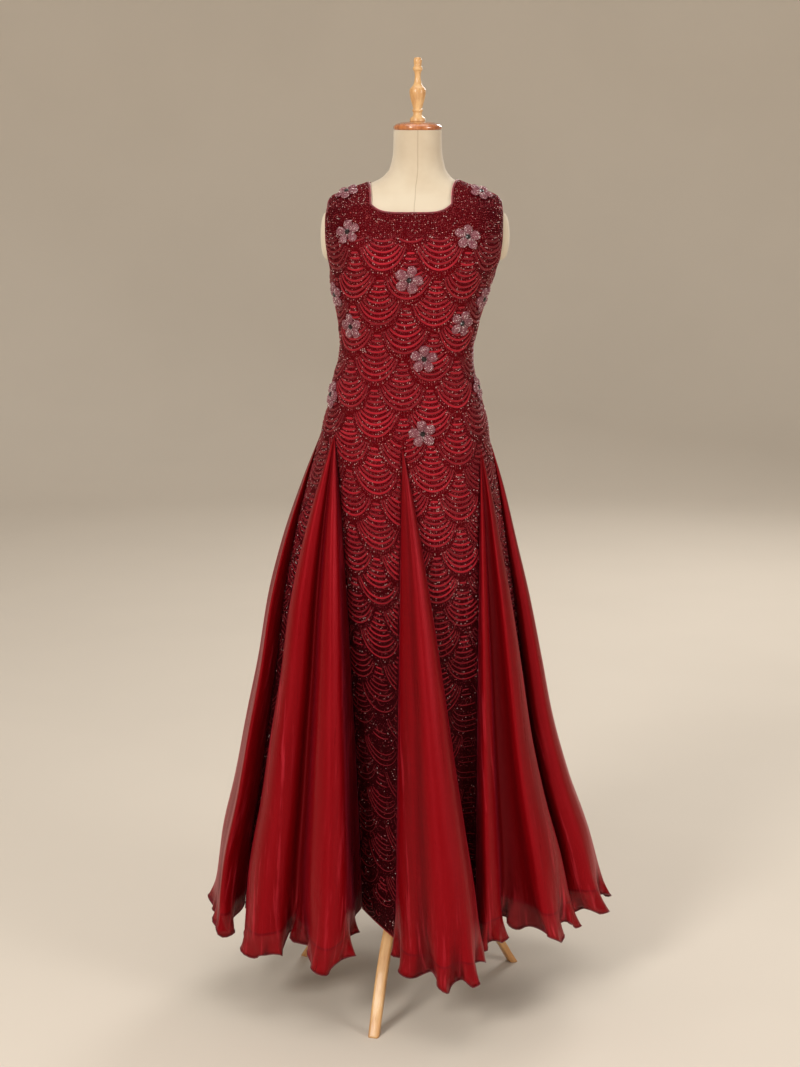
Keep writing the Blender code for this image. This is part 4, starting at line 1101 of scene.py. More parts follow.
def organza_material(colours):
    """Crisp sheer organza over lining: painted streaks of sheen down the cloth, soft watery patches,
    painted shade in the bottoms of the folds and painted light on their crests, creases near the edges with
    painted highlights, and a single sheer layer below the lining's hem, whose line shows through."""
    w = material("organza", Metallic=0.22, Sheen_Weight=0.20, Sheen_Roughness=0.25,
                 Sheen_Tint=(0.9, 0.07, 0.16, 1.0), Specular_IOR_Level=0.5,
                 Specular_Tint=(1.0, 0.16, 0.20, 1.0))
    vector, across, down = w.pattern()
    threads, slub = w.group("Crossed threads", Vector=vector, Threads=700.0)
    patches = w.noise(vector, (9.0, 2.2, 1.0), 3.0)
    creases = w.noise(vector, (26.0, 3.0, 1.0), 5.0, 0.6)
    # Slub streaks paint sheen down the cloth, and the fold attribute paints shade in the folds' bottoms and
    # light on their crests.
    share = w.total((slub, 0.30), (patches, 0.30), (w.attribute("fold"), 0.34))
    colour = w.mix(w.ramp(share, 0.34, 0.66), solid(colours.organza_deep), solid(colours.organza_lit))
    above = w.attribute("tone")
    line = w.times(w.ramp(above, 0.44, 0.47), w.ramp(above, 0.52, 0.49))
    colour = w.mix(w.times(line, 0.55), colour, (0.09, 0.002, 0.005, 1.0))
    # Painted highlights: pale pink crinkles on the creases near the edges and toward the hem.
    edges = w.ramp(w.maths("ABSOLUTE", across), 0.07, 0.17, 0.06, 1.0)
    edges = w.maths("MAXIMUM", edges, w.ramp(down, 0.80, 1.0, 0.0, 0.6))
    crease_bump_and_highlight = w.times(w.ramp(w.noise(vector, (64.0, 7.0, 1.0), 4.0, 0.62), 0.52, 0.72), edges)
    colour = w.mix(w.times(crease_bump_and_highlight, 0.5), colour, screen(204, 52, 66))
    w.give(w.shader, "Alpha", w.ramp(above, 0.42, 0.48, 0.88, 1.0))
    crumple = w.times(w.noise(vector, (34.0, 15.0, 1.0), 3.0), w.ramp(down, 0.70, 0.98, 0.0, 4.0))
    height = w.total((threads, 0.12), (creases, 1.0), (slub, 0.25), (crumple, 1.0), (crease_bump_and_highlight, 0.9))
    return w.finish(colour, w.ramp(creases, 0.3, 0.7, 0.26, 0.42), height, 0.35, 0.0016)


def lace_material(colours):
    """The net ground: dark burgundy with close-sewn seed beads, each its own colour up to pale painted
    glints, with painted shade toward the sides, and darker at the yoke and toward the hem."""
    w = material("lace_ground", Specular_IOR_Level=0.10, Specular_Tint=(1.0, 0.20, 0.22, 1.0))
    vector, across, down = w.pattern()
    threads, _ = w.group("Crossed threads", Vector=vector, Threads=520.0)
    sewn, pick = w.group("Sewn seed beads", Vector=vector, Beads_per_metre=330.0)
    small, rare = w.group("Sewn seed beads", Vector=vector, Beads_per_metre=620.0)
    shade = solid(colours.lace_shade)
    lit = w.times(w.ramp(down, 0.01, 0.08, 0.7, 1.0), w.ramp(down, 0.95, 0.45))
    ground = w.mix(lit, shade, solid(colours.lace_ground))
    ground = w.mix(w.ramp(threads, 0.4, 0.9, 0.45, 0.0), ground, (0.012, 0.001, 0.002, 1.0))
    # Each sewn bead's colour, from dark garnet up to pale painted glints.
    glint = w.steps(pick, ((0.0, screen(34, 2, 8)), (0.55, screen(72, 7, 17)), (0.80, screen(128, 28, 42)),
                           (0.93, screen(190, 84, 82)), (1.0, screen(236, 190, 176))))
    colour = w.mix(w.times(sewn, 0.85), ground, glint)
    # Rare small beads painted as pink glints.
    picked = w.times(small, w.ramp(rare, 0.72, 0.78))
    colour = w.mix(w.times(picked, 0.6), colour, screen(192, 86, 86))
    colour = w.mix(w.ramp(down, 0.50, 0.98, 0.0, 0.62), colour, shade)
    # Painted shade toward the sides.
    colour = w.mix(w.ramp(w.maths("ABSOLUTE", across), 0.10, 0.16, 0.0, 0.5), colour, shade)
    rough = w.ramp(sewn, 0.2, 0.9, 0.72, 0.26)
    return w.finish(colour, rough, w.total((sewn, 1.0), (threads, 0.2)), 0.8, 0.0009)


def cord_material(colours):
    """Satin-stitched cords: slanting stitches across each cord, darker and paler beads here and
    there, and each swag's tone: its own lighter or darker colour, with painted light and shade."""
    w = material("satin_cord", Sheen_Weight=0.08, Sheen_Roughness=0.3,
                 Sheen_Tint=(1.0, 0.20, 0.24, 1.0), Specular_IOR_Level=0.5,
                 Specular_Tint=(1.0, 0.30, 0.33, 1.0))
    vector, across, along = w.pattern()
    sewn, pick = w.group("Sewn seed beads", Vector=vector, Beads_per_metre=520.0)
    stitch = w.maths("ABSOLUTE", w.maths("SINE", w.total((along, 5200.0), (across, 3.0))))
    deep = solid(colours.cord_deep)
    # The tone carries painted light at each swag's middle, painted shade at its ends and sides, and darker
    # cords toward the hem and the yoke.
    colour = w.mix(w.attribute("tone"), deep, solid(colours.cord_lit))
    colour = w.mix(w.ramp(stitch, 0.0, 0.6, 0.35, 0.0), colour, deep)
    colour = w.mix(w.times(sewn, w.ramp(pick, 0.45, 0.30, 0.0, 0.75)), colour, deep)
    colour = w.mix(w.times(sewn, w.ramp(pick, 0.78, 0.86, 0.0, 0.7)), colour, screen(206, 104, 100))
    rough = w.ramp(stitch, 0.0, 1.0, 0.5, 0.3)
    return w.finish(colour, rough, w.total((stitch, 0.5), (sewn, 1.0)), 0.6, 0.0005)


def bead_material(colours):
    """Glass seed beads, some garnet, some rose and some silver-lined, picked by each bead's tone."""
    w = material("seed_beads", Metallic=0.15, Coat_Roughness=0.08, Specular_IOR_Level=0.3,
                 Specular_Tint=(1.0, 0.45, 0.48, 1.0))
    tone = w.attribute("tone")
    w.give(w.shader, "Coat Weight", w.ramp(tone, 0.7, 0.92, 0.06, 0.9))
    colour = w.steps(tone, ((0.0, solid(colours.bead_dark)), (0.35, screen(122, 20, 36)),
                            (0.64, screen(170, 56, 72)), (0.84, solid(colours.bead_light)),
                            (1.0, screen(255, 232, 226))))
    return w.finish(colour, w.ramp(tone, 0.0, 1.0, 0.30, 0.16))


def silver_material(colours):
    """Silver-lined rose beads of the flowers, each a little lighter or darker than the next."""
    w = material("silver_beads", Metallic=0.12, Coat_Weight=0.5, Coat_Roughness=0.1)
    tone = w.attribute("tone")
    colour = w.mix(tone, solid(colours.petal_shade), solid(colours.petal_light))
    colour = w.mix(w.ramp(tone, 0.72, 0.85), colour, screen(246, 222, 220))
    return w.finish(colour, w.ramp(tone, 0.0, 1.0, 0.34, 0.18))


def petal_material(colours):
    """Petals packed with tiny silver-lined beads on dusty pink thread."""
    w = material("beaded_petals", Metallic=0.05, Coat_Weight=0.30, Coat_Roughness=0.15)
    sewn, pick = w.group("Sewn seed beads", Vector=w.pattern()[0], Beads_per_metre=560.0)
    bead = w.mix(pick, solid(colours.petal_light), screen(244, 214, 214))
    colour = w.mix(sewn, solid(colours.petal_shade), bead)
    return w.finish(colour, w.ramp(sewn, 0.1, 0.9, 0.6, 0.25), sewn, 0.8, 0.0006)


def crystal_material():
    """Near-black faceted glass under a clear coat, a little lighter here and there."""
    w = material("black_crystal", Coat_Weight=0.4, Coat_Roughness=0.02, Specular_IOR_Level=0.3)
    cloudy = w.noise(w.object_place(), 600.0, 2.0)
    colour = w.mix(w.ramp(cloudy, 0.4, 0.7), (0.004, 0.003, 0.003, 1.0), (0.03, 0.02, 0.02, 1.0))
    return w.finish(colour, w.ramp(cloudy, 0.3, 0.7, 0.04, 0.12))


def binding_material(name, colour):
    """Narrow satin binding, its threads crossing and its tone a little uneven."""
    w = material(name, Sheen_Weight=0.3, Sheen_Roughness=0.4)
    threads, _ = w.group("Crossed threads", Vector=w.pattern()[0], Threads=900.0)
    uneven = w.noise(w.object_place(), 90.0, 3.0)
    colour = w.mix(w.ramp(uneven, 0.3, 0.7), solid(0.55 * c for c in colour), solid(colour))
    return w.finish(colour, w.ramp(uneven, 0.3, 0.7, 0.4, 0.6), threads, 0.4, 0.0003)


def cover_material(colours):
    """The form's cream jersey: fine knitting, faint soiling, and one stitched seam down the front."""
    w = material("form_cover", Sheen_Weight=0.25, Sheen_Roughness=0.6)
    vector, across, _ = w.pattern()
    threads, _ = w.group("Crossed threads", Vector=vector, Threads=820.0)
    soil = w.noise(w.object_place(), 7.0, 4.0)
    colour = w.mix(w.ramp(soil, 0.35, 0.7), solid(colours.form_light), solid(colours.form_shade))
    seam = w.ramp(w.maths("ABSOLUTE", across), 0.0011, 0.0004)
    colour = w.mix(w.times(seam, 0.5), colour, screen(150, 128, 104))
    rough = w.ramp(soil, 0.3, 0.7, 0.78, 0.9)
    return w.finish(colour, rough, w.total((threads, 0.3), (seam, -1.0)), 0.5, 0.0006)


def wood_material(name, light, dark, gloss, coat, wear, upright=True):
    """Wood with its grain along the piece, under varnish or bare."""
    w = material(name, Coat_Weight=coat, Coat_Roughness=0.12)
    if upright:
        place = w.object_place()
    else:
        _, around, along = w.pattern()
        place = w.node("ShaderNodeCombineXYZ", X=around, Y=0.0, Z=along).outputs[0]
    grain = w.group("Wood grain", Vector=place, Light=solid(light), Dark=solid(dark), Wear=wear)
    rough = w.ramp(grain["Polish"], 0.0, 1.0, gloss + 0.08, gloss)
    return w.finish(grain["Color"], rough, grain["Height"], 0.35, 0.0004)


def organza_points(piece, rows, columns, ruffle):
    """A godet on a grid: the skirt's surface, with soft flares that grow down from its point, and a
    fish-line ruffle whose waves swell over the last hand's width."""
    u = np.linspace(0, 1, columns)
    share = 0.006 + 0.994 * np.linspace(0, 1, rows) ** 0.92
    points = skirt_surface(piece, share, u)
    chance = np.random.default_rng(len(piece[0]) * 7 + len(piece[5]))
    along = unit(np.gradient(points[..., :2], axis=1))
    out = np.stack([along[..., 1], -along[..., 0]], axis=-1)
    edge = np.clip(9 * u, 0, 1) * np.clip(9 * (1 - u), 0, 1)
    flare = sum(np.sin(math.tau * (k * u + chance.uniform()) + 0.6 * share[:, None]) / k
                for k in (3, 5, 8))
    flare = FLARE * flare * edge * share[:, None] ** 0.8
    waves = round(run_lengths(points[-1], 0)[-1] / HEM_WAVE)
    phase = math.tau * waves * u + 1.1 * np.sin(math.tau * (2 * u + chance.uniform()))
    swell = (rising(share, RUFFLE_FROM, 1 - RUFFLE_FROM) ** 1.8)[:, None]
    curl = ruffle * swell * edge * (0.75 + 0.25 * np.sin(math.tau * 3 * u))
    tight = (rising(share, LETTUCE_FROM, 1 - LETTUCE_FROM) ** 1.5)[:, None]
    lettuce = CURL_SHARE * ruffle * tight * edge
    swing = flare + curl * np.sin(phase) + lettuce * np.sin(CURL_TURNS * phase + 1.0)
    points[..., :2] += out * swing[..., None]
    points[..., 2] += (WAVE_LIFT * curl * np.cos(phase + 0.7)
                       + 0.6 * lettuce * np.cos(CURL_TURNS * phase))
    corner = np.clip(1 - 16 * np.minimum(u, 1 - u), 0, 1) ** 2
    points[..., 2] += 0.014 * swell * corner
    return points


def fold_of(points):
    """How far each point of a godet stands out from the mean of its neighbours on both sides, as 0
    in the bottom of a fold and 1 on its crest. The organza paints shade and light into its folds by it."""
    columns = points.shape[1]
    reach = np.arange(columns)
    normal = grid_normals(points)
    total = 0
    for step, scale in ((4, 0.0016), (9, 0.006)):
        before = points[:, np.clip(reach - step, 0, columns - 1)]
        after = points[:, np.clip(reach + step, 0, columns - 1)]
        stands = ((points - 0.5 * (before + after)) * normal).sum(axis=-1)
        total = total + np.tanh(stands / scale)
    return 0.5 + 0.25 * total


def local_frame(angle, z, out):
    """A point over the form with its across, up and outward directions, and how sharply the form
    bends away to either side and up and down."""
    centre = on_cloth(angle, z, out)
    normal = form_normal(angle, z)
    across = unit(np.cross([0, 0, 1.0], normal))
    up = np.cross(normal, across)
    bends = []
    for direction, near in ((across, (on_cloth(angle - 8, z, out), on_cloth(angle + 8, z, out))),
                            (up, (on_cloth(angle, z - 0.014, out), on_cloth(angle, z + 0.014, out)))):
        found = [-2 * float((p - centre) @ normal) / max(float((p - centre) @ direction) ** 2, 1e-6)
                 for p in near]
        bends.append(min(max(sum(found) / 2, 0.0), 26.0))
    return centre, across, up, normal, bends


def flower(name, x, z, size, turn, materials):
    """A five-petalled flower. Each petal is an oval pillow laid along the cloth's bend, with seed
    beads in three rings on it, round a faceted crystal in a ring of beads."""
    radius = FLOWER_RADIUS * size
    centre, across, up, normal, bends = local_frame(float(form_angle(x, z)), z, 0.0042)
    pile = Pile()

    def settled(a, b, h):
        lift = h - 0.5 * (bends[0] * a ** 2 + bends[1] * b ** 2)
        return centre + a[..., None] * across + b[..., None] * up + lift[..., None] * normal

    def ring_of(radius, height, turns):
        return settled(radius * np.cos(turns), radius * np.sin(turns), height + 0 * turns)

    round_about = np.linspace(0, math.tau, 19)
    rho, high = PETAL_OUTLINE.T
    chance = np.random.default_rng(int(1000 * (z + 2)))
    for k in range(5):
        heading = math.radians(turn) + k * math.tau / 5 + chance.uniform(-0.06, 0.06)
        long = radius * PETAL[1] * chance.uniform(0.94, 1.06)
        wide = radius * PETAL[2] * chance.uniform(0.94, 1.06)
        rise = chance.uniform(0.0, 0.0016)

        def petal(r, phi, h):
            along = radius * PETAL[0] + long * r * np.cos(phi)
            aside = wide * r * np.sin(phi) * (1 + 0.22 * np.cos(phi))
            tip = rise * (along / radius) ** 2
            a = along * math.cos(heading) - aside * math.sin(heading)
            b = along * math.sin(heading) + aside * math.cos(heading)
            return settled(a, b, h + tip)

        grid = petal(rho[:, None], round_about[None, :], high[:, None] + 0 * round_about[None, :])
        uv = np.stack([0.01 * rho[:, None] * np.cos(round_about) + 0.03 * k,
                       0.01 * rho[:, None] * np.sin(round_about)], axis=-1)
        pile.grid(grid, uv, 0)
        for r, h, count in PETAL_BEADS:
            phi = np.linspace(0, math.tau, count + 1)[:-1] + chance.uniform(0, 0.4)
            at = petal(np.full(count, r), phi, np.full(count, h))
            beads(pile, at, np.broadcast_to(normal, at.shape), 0.00105, int(chance.integers(9999)), 1)
    pile.grid(ring_of(CRYSTAL[:, :1], CRYSTAL[:, 1:], np.linspace(0, math.tau, 9)), None, 2)
    at = ring_of(*CRYSTAL_BEADS, np.linspace(0, math.tau, 15)[:-1])
    beads(pile, at, np.broadcast_to(normal, at.shape), 0.0010, 77, 1)
    made = build(name + "_beaded", pile, materials, WELD, faceted=(2,))
    return dressed(made, [name])


def band(pile, path, normal, middle, width, thick):
    """A closed band that carries on the cloth past its edge: a flattened oval whose long side lies
    in the cloth and points to the opening's middle."""
    along = np.roll(path, -1, axis=0) - np.roll(path, 1, axis=0)
    away = unit(np.cross(along, normal))
    if ((np.array(middle) - path) * away).sum() < 0:
        away = -away
    square = unit(np.cross(away, along))
    square = np.where((square * normal).sum(axis=1, keepdims=True) < 0, -square, square)
    centre = path + away * (0.42 * width) - square * 0.0007
    turn = np.linspace(0, math.tau, 11)[:-1]
    ring = centre[:, None] + (0.5 * width * away[:, None] * np.cos(turn)[None, :, None]
                              + 0.5 * thick * square[:, None] * np.sin(turn)[None, :, None])
    flip = (np.cross(away, square) * along).sum() > 0
    ring = ring if flip else ring[:, ::-1]
    ring = np.concatenate([ring, ring[:1]])
    length = run_lengths(ring[:, :1], 0)
    uv = np.stack(np.broadcast_arrays(0.0011 * turn[None, :], length), axis=-1)
    pile.grid(ring, uv, closed=True)
    return centre, away, square


def edge_loops():
    """The neck's and armholes' edges, up one shoulder and down the other side, with normals."""
    front = lace_patches("lace_front")
    right = lace_patches("lace_back_right")
    left = lace_patches("lace_back_left")
    s = 2 * STRAP
    low = int((front[0]["points"][:, 0, 2] >= ARMHOLE[1, 0]).sum())
    runs = {
        "neck": [(front[0], (0, slice(s, -s))), (front[-1], (slice(-2, None, -1), 0)),
                 (right[-1], (slice(1, None), -1)), (right[0], (0, slice(s + 1, None))),
                 (left[0], (0, slice(1, -s))), (left[-1], (slice(-2, None, -1), 0)),
                 (front[-2], (slice(1, -1), -1))],
        "armhole_left": [(front[0], (slice(low, None, -1), 0)), (front[-2], (slice(-2, None, -1), 0)),
                         (left[-1], (slice(1, None), -1)), (left[0], (slice(1, low), -1))],
        "armhole_right": [(front[0], (slice(low, None, -1), -1)), (front[-1], (slice(-2, None, -1), -1)),
                          (right[-1], (slice(1, None), 0)), (right[0], (slice(1, low), 0))],
    }
    return {name: tuple(np.concatenate([cloth[key][part] for cloth, part in run])
                        for key in ("points", "normals")) for name, run in runs.items()}


def leg_points(angle):
    """A bent leg: rounded rectangles carried along its bend, from LEG, down to its foot on the floor."""
    table = np.array(LEG + ((LEG_END[0], 0.0, 90.0, LEG_END[1], LEG_END[2]),))
    params = run_lengths(table[:, :2], 0)
    at = np.interp(np.arange(FINE * (len(table) - 1) + 1) / FINE, np.arange(len(table)), params)
    line = spline(table, params, at)
    line[:, 2] = np.interp(at, params, table[:, 2])
    line[:, 1] = np.maximum(line[:, 1], 0)
    line[-1] = table[-1]
    out = np.array([math.sin(math.radians(angle)), -math.cos(math.radians(angle)), 0.0])
    across = np.array([out[1], -out[0], 0.0])
    slope = np.radians(line[:, 2])[:, None]
    upright = np.array([0, 0, 1.0])
    up = upright * np.cos(slope) + out * np.sin(slope)
    middle = np.array([POLE_X, 0, 0]) + out * line[:, 0:1] + upright * line[:, 1:2]
    turn = np.linspace(0, math.tau, 29)
    a, b = [0.5 * np.sign(way) * np.abs(way) ** LEG_SQUARE for way in (np.cos(turn), np.sin(turn))]
    ring = (middle[:, None] + across * (a[None, :] * line[:, 3:4])[..., None]
            + up[:, None] * (b[None, :] * line[:, 4:5])[..., None])
    ring[..., 2] = np.maximum(ring[..., 2], 0)
    uv = np.stack([0.011 * turn[None, :] + 0 * at[:, None], at[:, None] + 0 * turn[None, :]], axis=-1)
    ends = [ring[k:k + 1].mean(axis=1, keepdims=True) + 0 * ring[:1] for k in (0, len(ring) - 1)]
    closed = np.concatenate([ends[0], ring, ends[1]])
    return closed[:, ::-1], np.concatenate([uv[:1], uv, uv[-1:]])[:, ::-1]


def length(name, about, value, low=0.0, high=1.0):
    return bpy.props.FloatProperty(name=name, description=about, default=value, min=low, max=high,
                                   unit="LENGTH", precision=4)


def colour(name, about, red, green, blue):
    return bpy.props.FloatVectorProperty(name=name, description=about, subtype="COLOR", size=3, min=0,
                                         max=1, default=screen(red, green, blue)[:3])


class GownSizes(bpy.types.PropertyGroup):
    """Sizes of the gown's cloth and trimmings."""

    scallop_column: length("Scallop spacing", "From one column of scallops to the next", 0.054, 0.02)
    scallop_period: length("Scallop drop", "From one scallop to the next in a column", 0.107, 0.04)
    scallop_half: length("Scallop half width", "Half the width of one scallop", 0.046, 0.01)
    swags: bpy.props.IntProperty(name="Cords in a scallop", description="Nested cords in one scallop",
                                 default=10, min=3, max=16)
    cord_width: length("Cord width", "Width of a satin-stitched cord at its middle", 0.0046, 0.001, 0.01)
    cord_height: length("Cord height", "How far a cord stands off the net", 0.0017, 0.0, 0.005)
    bead_radius: length("Bead radius", "Radius of a seed bead", 0.0010, 0.0004, 0.003)
    yoke_depth: length("Yoke depth", "Depth of the plain beaded yoke under the neckline", 0.046, 0.0)
    ruffle: length("Hem ruffle", "How far the fish-line hem swings to each side", 0.0140, 0.0, 0.02)
    cloth: length("Cloth thickness", "Thickness of the net or organza with its lining", 0.0010, 0.0002)


class GownColours(bpy.types.PropertyGroup):
    """Colours of the gown, the form and the stand."""

    # The lit and deep organza colours paint light on the folds' crests and shade in their bottoms, with
    # painted sheen streaks.
    organza_lit: colour("Organza, lit", "Lustre of the godets", 126, 4, 12)
    organza_deep: colour("Organza, deep", "Depth of the godets' folds", 90, 2, 6)
    lace_ground: colour("Lace ground", "Net and lining of the bodice", 88, 3, 9)
    # The shaded lace colour paints shade at the sides, and darkens the yoke and toward the hem.
    lace_shade: colour("Lace, shaded", "Net at the yoke and near the hem", 36, 1, 4)
    # The lit and deep cord colours blend by each swag's tone, which carries painted light and shade.
    cord_lit: colour("Cord, lit", "Brightest satin cords", 186, 28, 44)
    cord_deep: colour("Cord, deep", "Darkest satin cords", 88, 6, 14)
    bead_dark: colour("Bead, dark", "Garnet beads", 66, 4, 11)
    bead_light: colour("Bead, light", "Rose beads", 206, 98, 100)
    petal_light: colour("Petal, light", "Beads of the flowers", 208, 142, 148)
    petal_shade: colour("Petal, shaded", "Thread under the flowers' beads", 112, 44, 58)
    binding: colour("Binding", "Bound edges of neck and armholes", 120, 16, 30)
    edging: colour("Lining edge", "Lining that shows along the neckline", 226, 150, 150)
    hem_cord: colour("Hem cord", "Corded edge of the godets", 104, 6, 18)
    form_light: colour("Form, light", "Jersey of the form", 206, 192, 168)
    form_shade: colour("Form, soiled", "Jersey where it has darkened", 190, 172, 146)
    wood_light: colour("Wood, light", "Pale grain of the stand and finial", 222, 180, 122)
    wood_dark: colour("Wood, dark", "Dark grain of the stand and finial", 182, 126, 72)
    varnish_light: colour("Varnish, light", "Pale grain of the neck cap", 206, 128, 66)
    varnish_dark: colour("Varnish, dark", "Dark grain of the neck cap", 150, 78, 34)
    floor: colour("Floor", "Studio floor and backdrop", 214, 204, 190)


class GownForm(bpy.types.Operator):
    """Make the jersey-covered form with its arm plates"""

    bl_idname = "gown.form"
    bl_label = "Form"

    def execute(self, context):
        cover = cover_material(context.scene.gown_colours)
        top = FORM[-1, 0]
        z = np.concatenate([np.linspace(FORM_BOTTOM, 1.58, 50), np.linspace(1.584, top, 50)])[::-1, None]
        angle = np.linspace(-180, 180, 97)[None, :]
        ring = form_surface(angle, z)
        middle = np.stack([smooth(FORM, z, 1), 0 * z], axis=-1)
        ring[..., :2] = middle + (ring[..., :2] - middle) * smooth(TAPER, z, 1)[..., None]
        cut = np.where(z > ARM_FROM, ARM_CUT, 9.0)
        ring[..., 0] = np.clip(ring[..., 0], ARM_MIDDLE - cut, ARM_MIDDLE + cut)
        around = run_lengths(ring, 1)
        uv = np.stack([around - around[:, 48:49], z + 0 * angle], axis=-1)
        ends = [np.concatenate([middle[k, 0], z[k]]) + 0 * ring[k] for k in (0, -1)]
        ring = np.concatenate([ends[0][None], ring, ends[1][None]])
        uv = np.concatenate([uv[:1], uv, uv[-1:]])
        surface("form_cover", ring, uv, cover, "form_cover", ["form_torso"], WELD)
        shares, sizes = PLATE_OUTLINE.T[:, :, None]
        turn = np.linspace(0, math.tau, 49)[None, :]
        for name, side, reach in ARM_PLATES:
            start = ARM_CUT + 0.0004
            x = ARM_MIDDLE + side * (start + (reach - start) * shares)
            points = np.stack([x + 0 * turn, PLATE[0] * sizes * np.cos(turn),
                               PLATE[2] + PLATE[1] * sizes * np.sin(turn)], axis=-1)
            points = points if side > 0 else points[:, ::-1]
            uv = points[..., 1:] + np.array([0.2, 0.0])
            surface(name + "_cover", points, uv, cover, "form_cover", [name], WELD)
        return {"FINISHED"}


class GownStand(bpy.types.Operator):
    """Make the turned finial, varnished cap, hub, pole and bent legs"""

    bl_idname = "gown.stand"
    bl_label = "Wooden stand"

    def execute(self, context):
        shades = context.scene.gown_colours
        plain = (shades.wood_light, shades.wood_dark)
        varnish = wood_material("varnished_cap", shades.varnish_light, shades.varnish_dark, 0.16, 0.9, 0.15)
        turned_wood = wood_material("turned_wood", *plain, 0.36, 0.35, 0.3)
        bent = wood_material("bent_wood", *plain, 0.42, 0.15, 0.4, upright=False)
        for name, outline, x, finish, slot, steps in (
                ("finial", FINIAL, 0.005, turned_wood, "turned_wood", 48),
                ("neck_cap", CAP, 0.005, varnish, "varnished_wood", 72),
                ("hub", HUB + (HUB[0],), POLE_X, turned_wood, "bent_wood", 48)):
            surface(name + "_turned", *turned(outline, x, steps), finish, slot, [name], WELD)
        height = np.array([FORM_BOTTOM - 0.0003] * 2 + [HUB_BOTTOM - 0.004] * 2)[:, None]
        radius = np.array([0.0, POLE_RADIUS, POLE_RADIUS, 0.0])[:, None]
        turn = np.linspace(0, math.tau, 49)[None, :]
        points = np.stack([POLE_X + radius * np.cos(turn), radius * np.sin(turn), height + 0 * turn],
                          axis=-1)
        uv = np.stack([POLE_RADIUS * turn + 0 * height, height + 0 * turn], axis=-1)
        surface("pole_wood", points, uv, bent, "bent_wood", ["pole"], WELD)
        for name, angle in zip(("leg_front", "leg_back_right", "leg_back_left"), LEG_ANGLES):
            surface(name + "_bent", *leg_points(angle), bent, "bent_wood", [name], WELD)
        return {"FINISHED"}


